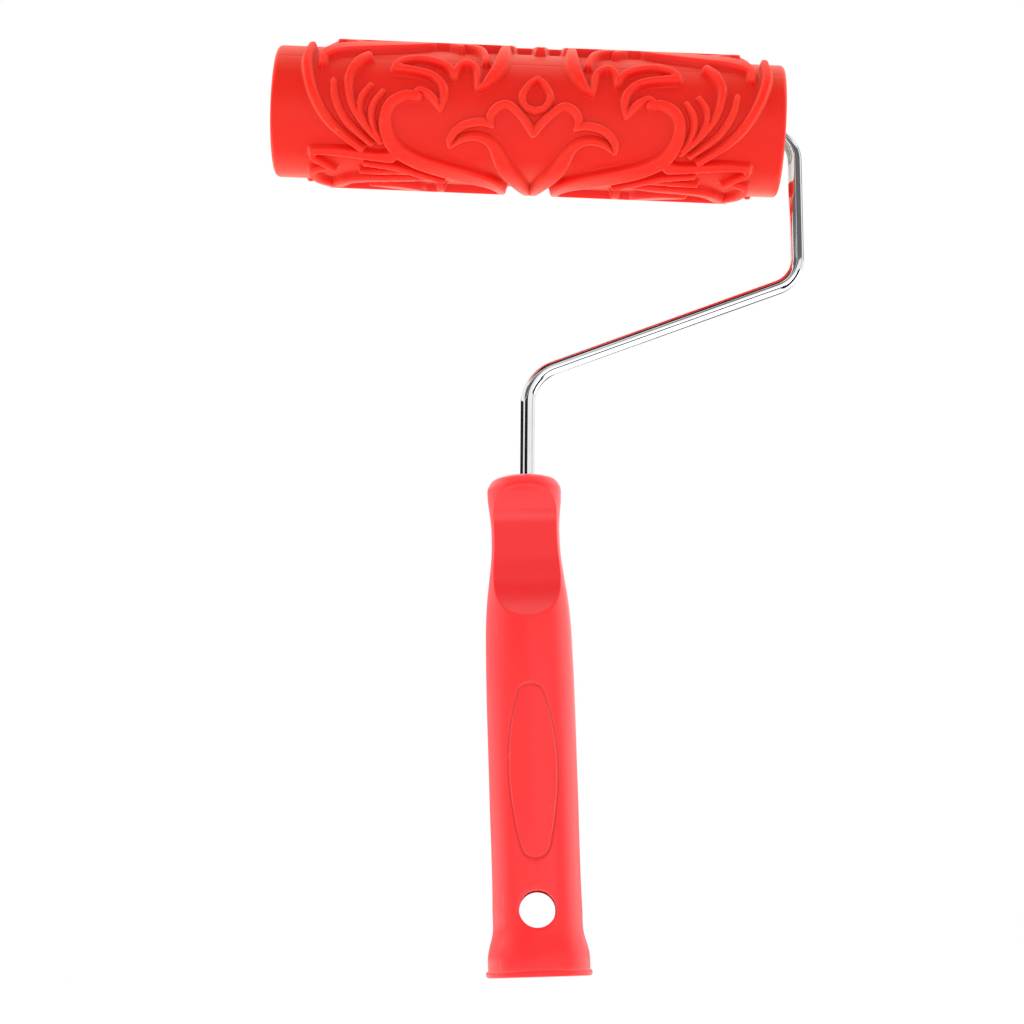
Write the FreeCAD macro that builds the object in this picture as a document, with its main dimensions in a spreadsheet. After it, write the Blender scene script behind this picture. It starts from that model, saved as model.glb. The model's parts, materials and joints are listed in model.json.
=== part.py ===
import FreeCAD, Part
import math
import os

import Sketcher

V = FreeCAD.Vector

# ---------------------------------------------------------------- driving dimensions (mm, degrees)
DIMS = [
    # handle: height above the foot, full width (X) and full depth (Y) of each oval section
    ("foot_lip_height", 2.2), ("foot_lip_width", 34.9), ("foot_lip_depth", 30.8),
    ("foot_lip_round", 0.9),
    ("boss_height", 2.0), ("boss_width", 33.4), ("boss_depth", 29.6),
    ("flare_height", 6.0), ("flare_width", 33.4), ("flare_depth", 29.5),
    ("neck_height", 9.6), ("neck_width", 32.2), ("neck_depth", 28.4),
    ("heel_height", 13.4), ("heel_width", 30.1), ("heel_depth", 26.8),
    ("butt_height", 22.0), ("butt_width", 29.5), ("butt_depth", 26.0),
    ("palm_height", 60.0), ("palm_width", 29.4), ("palm_depth", 26.2),
    ("grip_height", 104.0), ("grip_width", 29.2), ("grip_depth", 26.0),
    ("shoulder_height", 116.0), ("shoulder_width", 28.6), ("shoulder_depth", 25.4),
    ("taper_height", 124.5), ("taper_width", 27.3), ("taper_depth", 24.6),
    ("narrow_height", 132.5), ("narrow_width", 25.2), ("narrow_depth", 23.2),
    ("waist_height", 140.0), ("waist_width", 23.5), ("waist_depth", 22.2),
    ("throat_height", 148.0), ("throat_width", 23.1), ("throat_depth", 21.8),
    ("cheek_height", 154.5), ("cheek_width", 24.0), ("cheek_depth", 22.2),
    ("head_height", 159.5), ("head_width", 25.0), ("head_depth", 22.4),
    ("crown_height", 163.4), ("crown_width", 24.5), ("crown_depth", 21.9),
    ("brow_height", 165.3), ("brow_width", 22.1), ("brow_depth", 19.6),
    ("peak_height", 166.5), ("peak_width", 16.8), ("peak_depth", 14.6),
    ("tip_height", 167.3), ("tip_width", 9.0), ("tip_depth", 7.6),
    # thumb dish: a straight ramp, a flat floor and a tight bend, cut straight across the front
    ("dish_floor", 4.5), ("dish_floor_top", 149.9), ("dish_ramp_angle", 37.0),
    ("dish_ramp_height", 107.35), ("dish_low_bend", 34.0), ("dish_high_bend", 14.0),
    ("dish_reach", 20.0), ("cutter_span", 60.0),
    # hanging hole, pole socket and the hollow above it
    ("hang_radius", 6.0), ("hang_height", 21.5),
    ("socket_radius", 10.5), ("socket_depth", 70.0),
    ("hollow_top_radius", 7.0), ("hollow_depth", 110.0),
    # oval panel line: height and half width at eight stations, rise of the end arcs
    ("panel_height_1", 38.9), ("panel_half_1", 3.4), ("panel_height_2", 40.7), ("panel_half_2", 4.4),
    ("panel_height_3", 45.3), ("panel_half_3", 5.6), ("panel_height_4", 54.5), ("panel_half_4", 7.15),
    ("panel_height_5", 66.0), ("panel_half_5", 8.05), ("panel_height_6", 75.4), ("panel_half_6", 7.7),
    ("panel_height_7", 84.8), ("panel_half_7", 6.2), ("panel_height_8", 93.0), ("panel_half_8", 3.8),
    ("panel_foot_rise", 1.2), ("panel_head_rise", 1.4),
    ("panel_line", 0.7), ("panel_line_depth", 0.35),
    # bent rod: straight runs between the bends, bend radii on the centreline, directions from +X
    ("wire_radius", 2.5), ("tang_start_x", -0.48), ("tang_start_height", 121.5),
    ("tang_lean", 2.2), ("tang_run", 71.7), ("tang_bend", 13.5),
    ("arm_slope", 18.6), ("arm_run", 83.09), ("arm_bend", 11.0),
    ("leg_lean", -2.0), ("leg_run", 36.41), ("leg_bend", 11.0),
    ("axle_slope", 4.37), ("axle_run", 166.14),
    ("ear_width", 7.4), ("ear_thickness", 3.6), ("ear_length", 3.0),
    # roller, along its own axle; roller_reach runs from the last bend's end to the sleeve's middle
    ("roller_reach", 83.37), ("sleeve_length", 177.8), ("sleeve_radius", 23.0), ("sleeve_round", 1.6),
    ("relief_radius", 26.0), ("relief_root", 22.4), ("relief_margin", 3.0),
    ("pattern_shift", 1.75), ("facing_drop", 22.5),
    ("tube_radius", 18.0), ("tube_bore", 15.6), ("tube_inset", 1.8),
    ("cap_well_radius", 11.0), ("cap_well_depth", 11.5), ("cap_web", 2.4), ("cap_length", 24.0),
    ("cap_wall", 2.2), ("hub_radius", 5.2), ("bearing_radius", 2.56), ("cap_vent_radius", 1.6),
    ("cap_vent_circle", 7.9), ("cap_vents", 6),
    ("washer_radius", 6.0), ("washer_bore", 2.56), ("washer_thickness", 0.8), ("washer_play", 0.15),
    ("nut_radius", 5.8), ("nut_flange", 0.7), ("nut_dome_radius", 3.6), ("nut_length", 4.6),
]

SECTIONS = ["boss", "flare", "neck", "heel", "butt", "palm", "grip", "shoulder", "taper", "narrow",
            "waist", "throat", "cheek", "head", "crown"]
CROWN_SECTIONS = ["crown", "brow", "peak", "tip"]
PANEL_SECTIONS = ["butt", "palm", "grip", "shoulder"]

doc = FreeCAD.newDocument("pattern_roller")


def make_sheet():
    """Fill the driving spreadsheet and hand back its numbers by alias."""
    sheet = doc.addObject("Spreadsheet::Sheet", "dims")
    for row, (alias, value) in enumerate(DIMS, 1):
        sheet.set("A%d" % row, alias)
        sheet.set("B%d" % row, str(value))
        sheet.setAlias("B%d" % row, alias)
    doc.recompute()
    return {alias: float(sheet.get(alias)) for alias, _ in DIMS}


D = make_sheet()


# ---------------------------------------------------------------- small helpers
def origin_plane(body, role):
    return [f for f in body.Origin.OriginFeatures if f.Role == role][0]


def new_sketch(body, name, role="XY_Plane"):
    sketch = body.newObject("Sketcher::SketchObject", name)
    sketch.AttachmentSupport = [(origin_plane(body, role), "")]
    sketch.MapMode = "FlatFace"
    return sketch


def bind(obj, prop, expression):
    obj.setExpression(prop, expression)


def oval_sketch(body, section, inset=0.0):
    """Horizontal oval of one named handle section, shrunk by inset on every side."""
    sketch = new_sketch(body, "%s_%s" % (body.Name, section))
    half_w = D[section + "_width"] / 2 - inset
    half_d = D[section + "_depth"] / 2 - inset
    sketch.addGeometry(Part.Ellipse(V(half_w, 0, 0), V(0, half_d, 0), V(0, 0, 0)))
    sketch.exposeInternalGeometry(0)
    sketch.addConstraint(Sketcher.Constraint("Coincident", 0, 3, -1, 1))
    sketch.addConstraint(Sketcher.Constraint("Horizontal", 1))
    shrink = " - 2 * dims.panel_line_depth" if inset else ""
    for line, size, value in ((1, "width", 2 * half_w), (2, "depth", 2 * half_d)):
        index = sketch.addConstraint(Sketcher.Constraint("Distance", line, value))
        sketch.renameConstraint(index, size)
        bind(sketch, "Constraints." + size, "dims.%s_%s%s" % (section, size, shrink))
    bind(sketch, "AttachmentOffset.Base.z", "dims.%s_height" % section)
    return sketch


def oval_loft(name, sections, inset=0.0):
    body = doc.addObject("PartDesign::Body", name)
    sketches = [oval_sketch(body, s, inset) for s in sections]
    loft = body.newObject("PartDesign::AdditiveLoft", name + "_loft")
    loft.Profile = sketches[0]
    loft.Sections = sketches[1:]
    loft.Ruled = False
    doc.recompute()
    return body


def cylinder(name, radius, height, placement=None):
    """Part cylinder; radius and height are sheet names, or expressions over the sheet."""
    obj = doc.addObject("Part::Cylinder", name)
    bind(obj, "Radius", radius)
    bind(obj, "Height", height)
    if placement:
        obj.Placement = placement
    return obj


def boolean(kind, name, base, tool):
    obj = doc.addObject("Part::" + kind, name)
    obj.Base = base
    obj.Tool = tool
    return obj


def revolved(name, points, rules):
    """Solid of revolution about local Z from a closed outline of (radius, height) points.

    rules maps a point's index to the sheet expressions of its radius and height.
    """
    body = doc.addObject("PartDesign::Body", name + "_turned")
    sketch = new_sketch(body, name + "_outline", "XZ_Plane")
    n = len(points)
    for i in range(n):
        (r1, z1), (r2, z2) = points[i], points[(i + 1) % n]
        sketch.addGeometry(Part.LineSegment(V(r1, z1, 0), V(r2, z2, 0)))
    for i in range(n):
        sketch.addConstraint(Sketcher.Constraint("Coincident", i, 2, (i + 1) % n, 1))
    for i, (radius, height) in enumerate(rules):
        for kind, value, rule, tag in (("DistanceX", points[i][0], radius, "r"),
                                       ("DistanceY", points[i][1], height, "z")):
            index = sketch.addConstraint(Sketcher.Constraint(kind, -1, 1, i, 1, value))
            sketch.renameConstraint(index, "%s%d" % (tag, i))
            bind(sketch, "Constraints.%s%d" % (tag, i), rule)
    turn = body.newObject("PartDesign::Revolution", name + "_turn")
    turn.Profile = sketch
    turn.ReferenceAxis = (sketch, ["V_Axis"])
    turn.Angle = 360.0
    doc.recompute()
    return body


def value_of(expression):
    """Number of a sheet expression written with dims.NAME terms."""
    total, sign = 0.0, 1.0
    for word in expression.split():
        if word in "+-":
            sign = 1.0 if word == "+" else -1.0
        else:
            total += sign * (D[word[5:]] if word.startswith("dims.") else float(word))
    return total


def turned(name, rules):
    return revolved(name, [(value_of(r), value_of(z)) for r, z in rules], rules)


# ---------------------------------------------------------------- where the rod and roller lie
def unit(angle):
    return V(math.cos(math.radians(angle)), 0, math.sin(math.radians(angle)))


def rod_course():
    """Start point, then (direction, straight run, bend radius) of each straight of the rod."""
    start = V(D["tang_start_x"], 0, D["tang_start_height"])
    return start, [
        (90 - D["tang_lean"], D["tang_run"], D["tang_bend"]),
        (D["arm_slope"], D["arm_run"], D["arm_bend"]),
        (90 + D["leg_lean"], D["leg_run"], D["leg_bend"]),
        (180 - D["axle_slope"], D["axle_run"], 0.0),
    ]


def rod_points():
    """Ends of every straight, and centre of every bend, worked out along the course."""
    at, course = rod_course()
    straights, centres = [], []
    for i, (angle, run, bend) in enumerate(course):
        end = at + unit(angle) * run
        straights.append((at, end))
        if bend:
            turn = course[i + 1][0] - angle
            side = 90 if turn > 0 else -90
            centre = end + unit(angle + side) * bend
            centres.append(centre)
            at = centre + unit(course[i + 1][0] - side) * bend
    return straights, centres


STRAIGHTS, CENTRES = rod_points()
AXLE_IN = unit(180 - D["axle_slope"])
AXLE_OUT = AXLE_IN * -1.0


def roller_centre():
    """Middle of the sleeve, on the axle's line."""
    return STRAIGHTS[3][0] + AXLE_IN * D["roller_reach"]


def axle_placement(along=0.0, flip=False):
    """Local Z along the axle (towards the arm), local X towards the front and down."""
    z_axis = AXLE_OUT if not flip else AXLE_IN
    drop = math.radians(D["facing_drop"])
    front = V(0, -math.cos(drop), -math.sin(drop))
    x_axis = (front - z_axis * front.dot(z_axis)).normalize()
    y_axis = z_axis.cross(x_axis)
    rot = FreeCAD.Rotation(x_axis, y_axis, z_axis, "ZXY")
    return FreeCAD.Placement(roller_centre() + AXLE_OUT * along, rot)


# ---------------------------------------------------------------- handle
PANEL_PLANE = -30.0     # the panel outline is drawn on a plane clear of the grip's front
PANEL_CUT = 26.0        # and is driven this far back, short of the grip's middle


def panel_face(growth):
    """Flat face inside the panel's outline, grown by growth on every side."""
    stations = [V(D["panel_half_%d" % k], PANEL_PLANE, D["panel_height_%d" % k]) for k in range(1, 9)]
    middle = Part.BSplineCurve()
    middle.interpolate(stations)
    grown = []
    for point in stations:
        run = V(*middle.tangent(middle.parameter(point))[0])
        grown.append(point + V(run.z, 0, -run.x) * growth)
    mirror = [V(-p.x, p.y, p.z) for p in reversed(grown)]
    right, left = Part.BSplineCurve(), Part.BSplineCurve()
    right.interpolate(grown)
    left.interpolate(mirror)
    crest = V(0, PANEL_PLANE, stations[-1].z + D["panel_head_rise"] + growth)
    trough = V(0, PANEL_PLANE, stations[0].z - D["panel_foot_rise"] - growth)
    top = Part.Arc(grown[-1], crest, mirror[0])
    bottom = Part.Arc(mirror[-1], trough, grown[0])
    return Part.Face(Part.Wire([curve.toShape() for curve in (right, top, left, bottom)]))


def make_dish_cutter():
    """Scoop of the thumb dish: its outline on the middle plane, padded to both sides."""
    ramp = V(math.sin(math.radians(D["dish_ramp_angle"])),
             math.cos(math.radians(D["dish_ramp_angle"])), 0)
    foot = V(-D["dish_reach"], D["dish_ramp_height"], 0)
    corner = foot + ramp * ((D["dish_reach"] - D["dish_floor"]) / ramp.x)
    low = D["dish_low_bend"] * math.tan(math.radians(D["dish_ramp_angle"] / 2))
    ramp_end, floor_foot = corner - ramp * low, corner + V(0, low, 0)
    floor_top = V(-D["dish_floor"], D["dish_floor_top"], 0)
    low_centre = floor_foot - V(D["dish_low_bend"], 0, 0)
    high_centre = floor_top - V(D["dish_high_bend"], 0, 0)
    brow_foot = high_centre + V(0, D["dish_high_bend"], 0)
    back = V(-D["dish_reach"], brow_foot.y, 0)

    body = doc.addObject("PartDesign::Body", "dish_cutter")
    sketch = new_sketch(body, "dish_outline", "YZ_Plane")
    up = V(0, 0, 1)
    pieces = [
        Part.LineSegment(foot, ramp_end),
        Part.ArcOfCircle(Part.Circle(low_centre, up, D["dish_low_bend"]),
                         -math.radians(D["dish_ramp_angle"]), 0),
        Part.LineSegment(floor_foot, floor_top),
        Part.ArcOfCircle(Part.Circle(high_centre, up, D["dish_high_bend"]), 0, math.pi / 2),
        Part.LineSegment(brow_foot, back),
        Part.LineSegment(back, foot),
    ]
    for piece in pieces:
        sketch.addGeometry(piece)
    for k in range(4):
        sketch.addConstraint(Sketcher.Constraint("Tangent", k, 2, k + 1, 1))
    for k in (4, 5):
        sketch.addConstraint(Sketcher.Constraint("Coincident", k, 2, (k + 1) % 6, 1))
    for kind, line in (("Vertical", 2), ("Horizontal", 4), ("Vertical", 5)):
        sketch.addConstraint(Sketcher.Constraint(kind, line))
    for name, args, value, rule in (
            ("reach", ("DistanceX", -1, 1, 0, 1), foot.x, "-dims.dish_reach"),
            ("ramp_height", ("DistanceY", -1, 1, 0, 1), foot.y, "dims.dish_ramp_height"),
            ("floor", ("DistanceX", -1, 1, 2, 2), floor_top.x, "-dims.dish_floor"),
            ("floor_top", ("DistanceY", -1, 1, 2, 2), floor_top.y, "dims.dish_floor_top"),
            ("low_bend", ("Radius", 1), D["dish_low_bend"], "dims.dish_low_bend"),
            ("high_bend", ("Radius", 3), D["dish_high_bend"], "dims.dish_high_bend"),
            ("ramp", ("Angle", 0), math.radians(90 - D["dish_ramp_angle"]),
             "(90 - dims.dish_ramp_angle) * 1 deg")):
        index = sketch.addConstraint(Sketcher.Constraint(*args, value))
        sketch.renameConstraint(index, name)
        bind(sketch, "Constraints." + name, rule)
    pad = body.newObject("PartDesign::Pad", "dish_pad")
    pad.Profile = sketch
    pad.SideType = "Symmetric"
    bind(pad, "Length", "dims.cutter_span")
    doc.recompute()
    return body


def make_handle():
    outer = oval_loft("grip_form", SECTIONS)
    lip = doc.addObject("PartDesign::Body", "foot_lip")
    ring = new_sketch(lip, "foot_lip_oval")
    ring.addGeometry(Part.Ellipse(V(D["foot_lip_width"] / 2, 0, 0), V(0, D["foot_lip_depth"] / 2, 0),
                                  V(0, 0, 0)))
    ring.exposeInternalGeometry(0)
    ring.addConstraint(Sketcher.Constraint("Coincident", 0, 3, -1, 1))
    ring.addConstraint(Sketcher.Constraint("Horizontal", 1))
    for line, size in ((1, "width"), (2, "depth")):
        index = ring.addConstraint(Sketcher.Constraint("Distance", line, D["foot_lip_" + size]))
        ring.renameConstraint(index, size)
        bind(ring, "Constraints." + size, "dims.foot_lip_" + size)
    pad = lip.newObject("PartDesign::Pad", "foot_lip_pad")
    pad.Profile = ring
    bind(pad, "Length", "dims.foot_lip_height")
    doc.recompute()
    rounded = lip.newObject("PartDesign::Fillet", "foot_lip_fillet")
    rims = ["Edge%d" % (i + 1) for i, e in enumerate(pad.Shape.Edges)
            if e.BoundBox.ZLength < 1e-6]
    rounded.Base = (pad, rims)
    bind(rounded, "Radius", "dims.foot_lip_round")

    crown = boolean("Fuse", "grip_and_crown", outer, oval_loft("crown_form", CROWN_SECTIONS))
    form = boolean("Fuse", "grip_and_lip", crown, lip)

    line = doc.addObject("Part::Feature", "panel_line_cutter")
    ring_face = panel_face(D["panel_line"] / 2).cut(panel_face(-D["panel_line"] / 2))
    line.Shape = ring_face.extrude(V(0, PANEL_CUT, 0))
    lined = boolean("Cut", "grip_cut_through_line", form, line)
    core = oval_loft("grip_core", PANEL_SECTIONS, D["panel_line_depth"])
    filled = boolean("Fuse", "grip_with_line", lined, core)

    dish = make_dish_cutter()
    hang = cylinder("hang_cutter", "dims.hang_radius", "dims.cutter_span", FreeCAD.Placement(
        V(0, D["cutter_span"] / 2, D["hang_height"]), FreeCAD.Rotation(V(1, 0, 0), 90)))
    socket = cylinder("socket_cutter", "dims.socket_radius", "dims.socket_depth")
    hollow = doc.addObject("Part::Cone", "hollow_cutter")
    bind(hollow, "Radius1", "dims.socket_radius")
    bind(hollow, "Radius2", "dims.hollow_top_radius")
    bind(hollow, "Height", "dims.hollow_depth - dims.socket_depth")
    hollow.Placement = FreeCAD.Placement(V(0, 0, D["socket_depth"]), FreeCAD.Rotation())
    start, course = rod_course()
    tang = cylinder("tang_cutter", "dims.wire_radius", "dims.tang_run",
                    FreeCAD.Placement(start, FreeCAD.Rotation(V(0, 0, 1), unit(course[0][0]))))
    obj = filled
    for name, tool in (("dished", dish), ("hung", hang), ("socketed", socket), ("hollowed", hollow),
                       ("handle", tang)):
        obj = boolean("Cut", name, obj, tool)
    return obj


# ---------------------------------------------------------------- bent rod
def make_frame_wire():
    body = doc.addObject("PartDesign::Body", "rod_body")
    path = new_sketch(body, "rod_path", "XZ_Plane")
    _, course = rod_course()
    pairs, centres = STRAIGHTS, CENTRES
    flat = lambda p: V(p.x, p.z, 0)
    ids = []
    for i, (a, b) in enumerate(pairs):
        ids.append(path.addGeometry(Part.LineSegment(flat(a), flat(b))))
        if i < len(centres):
            before, after = course[i][0], course[i + 1][0]
            low, high = (before - 90, after - 90) if after > before else (after + 90, before + 90)
            ring = Part.Circle(flat(centres[i]), V(0, 0, 1), course[i][2])
            ids.append(path.addGeometry(
                Part.ArcOfCircle(ring, math.radians(low), math.radians(high))))
    tie = lambda *args: path.addConstraint(Sketcher.Constraint(*args))

    def sized(kind, args, name, value, rule):
        index = path.addConstraint(Sketcher.Constraint(kind, *args, value))
        path.renameConstraint(index, name)
        bind(path, "Constraints." + name, rule)

    ends = {}
    for k, geo in enumerate(ids):
        shape = path.Geometry[geo]
        a, b = shape.StartPoint, shape.EndPoint
        first = flat(pairs[k // 2][0]) if k % 2 == 0 else flat(pairs[k // 2][1])
        ends[geo] = (1, 2) if a.distanceToPoint(first) < 1e-6 else (2, 1)
    for g1, g2 in zip(ids, ids[1:]):
        tie("Tangent", g1, ends[g1][1], g2, ends[g2][0])
    sized("DistanceX", (-1, 1, ids[0], 1), "start_x", D["tang_start_x"], "dims.tang_start_x")
    sized("DistanceY", (-1, 1, ids[0], 1), "start_z", D["tang_start_height"], "dims.tang_start_height")
    for k, name in enumerate(("tang", "arm", "leg", "axle")):
        sized("Distance", (ids[2 * k],), name + "_run", D[name + "_run"], "dims.%s_run" % name)
        if k < 3:
            sized("Radius", (ids[2 * k + 1],), name + "_bend", D[name + "_bend"],
                  "dims.%s_bend" % name)
    rules = ("90 - dims.tang_lean", "dims.arm_slope", "90 + dims.leg_lean", "180 - dims.axle_slope")
    for k, rule in enumerate(rules):
        sized("Angle", (ids[2 * k],), ("tang", "arm", "leg", "axle")[k] + "_angle",
              math.radians(course[k][0]), "(%s) * 1 deg" % rule)
    doc.recompute()

    section = new_sketch(body, "rod_section")
    section.addGeometry(Part.Circle(V(0, 0, 0), V(0, 0, 1), D["wire_radius"]))
    section.addConstraint(Sketcher.Constraint("Coincident", 0, 3, -1, 1))
    index = section.addConstraint(Sketcher.Constraint("Radius", 0, D["wire_radius"]))
    section.renameConstraint(index, "radius")
    bind(section, "Constraints.radius", "dims.wire_radius")
    start, _ = rod_course()
    section.AttachmentOffset = FreeCAD.Placement(
        start, FreeCAD.Rotation(V(0, 0, 1), unit(course[0][0])))
    pipe = body.newObject("PartDesign::AdditivePipe", "rod_pipe")
    pipe.Profile = section
    pipe.Spine = (path, ["Edge%d" % (i + 1) for i in range(len(ids))])
    pipe.Mode = "Frenet"
    doc.recompute()

    ears = doc.addObject("Part::Box", "stop_ears")
    bind(ears, "Length", "dims.ear_width")
    bind(ears, "Width", "dims.ear_thickness")
    bind(ears, "Height", "dims.ear_length")
    where = axle_placement(washer_seat() + D["washer_thickness"] + D["washer_play"])
    offset = where.Rotation.multVec(V(-D["ear_width"] / 2, -D["ear_thickness"] / 2, 0))
    ears.Placement = FreeCAD.Placement(where.Base + offset, where.Rotation)
    return boolean("Fuse", "frame_wire", body, ears)


def washer_seat():
    """Distance from the sleeve's middle to the near face of a thrust washer."""
    return D["sleeve_length"] / 2 - D["cap_well_depth"] + D["washer_play"]


# ---------------------------------------------------------------- roller pieces
def make_core_tube():
    length = "dims.sleeve_length - 2 * dims.tube_inset"
    half = V(0, 0, -(D["sleeve_length"] / 2 - D["tube_inset"]))
    shift = FreeCAD.Placement(half, FreeCAD.Rotation())
    outside = cylinder("tube_outside", "dims.tube_radius", length, axle_placement() * shift)
    inside = cylinder("tube_inside", "dims.tube_bore", length, axle_placement() * shift)
    return boolean("Cut", "core_tube", outside, inside)


CAP_RULES = [
    # from the well's floor: well, outer face, flange, plug wall, inner side of the web, hub, bore
    ("dims.bearing_radius", "dims.cap_well_depth"),
    ("dims.cap_well_radius", "dims.cap_well_depth"),
    ("dims.cap_well_radius", "0"),
    ("dims.tube_radius", "0"),
    ("dims.tube_radius", "dims.tube_inset"),
    ("dims.tube_bore", "dims.tube_inset"),
    ("dims.tube_bore", "dims.cap_length"),
    ("dims.tube_bore - dims.cap_wall", "dims.cap_length"),
    ("dims.tube_bore - dims.cap_wall", "dims.cap_well_depth + dims.cap_web"),
    ("dims.hub_radius", "dims.cap_well_depth + dims.cap_web"),
    ("dims.hub_radius", "dims.cap_length"),
    ("dims.bearing_radius", "dims.cap_length"),
]


def make_cap(name, arm_side):
    """Plug modelled from its outer face (local z = 0) inwards."""
    solid = turned(name, CAP_RULES)
    vents = []
    count = int(D["cap_vents"])
    for k in range(count):
        vent = cylinder("%s_vent_%d" % (name, k), "dims.cap_vent_radius", "dims.cap_length")
        turn = FreeCAD.Rotation(V(0, 0, 1), 360.0 * k / count)
        vent.Placement = FreeCAD.Placement(turn.multVec(V(D["cap_vent_circle"], 0, 0)), turn)
        vents.append(vent)
    tools = doc.addObject("Part::MultiFuse", name + "_vents")
    tools.Shapes = vents
    cap = boolean("Cut", name, solid, tools)
    cap.Placement = axle_placement(D["sleeve_length"] / 2 * (1 if arm_side else -1), arm_side)
    return cap


def make_washer(name, arm_side):
    washer = turned(name, [
        ("dims.washer_bore", "0"), ("dims.washer_radius", "0"),
        ("dims.washer_radius", "dims.washer_thickness"),
        ("dims.washer_bore", "dims.washer_thickness")])
    along = washer_seat() * (1 if arm_side else -1)
    washer.Placement = axle_placement(along, not arm_side)
    return washer


def make_push_nut():
    """Cupped retainer gripping the rod; local z = 0 is the face that meets the washer."""
    nut = turned("push_nut", [
        ("dims.wire_radius", "0"), ("dims.nut_radius", "0"),
        ("dims.nut_radius", "dims.nut_flange"),
        ("dims.nut_dome_radius", "dims.nut_flange"),
        ("dims.nut_dome_radius", "dims.nut_length"),
        ("dims.wire_radius", "dims.nut_length")])
    along = -(washer_seat() + D["washer_thickness"] + D["washer_play"])
    nut.Placement = axle_placement(along, True)
    return nut


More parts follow.
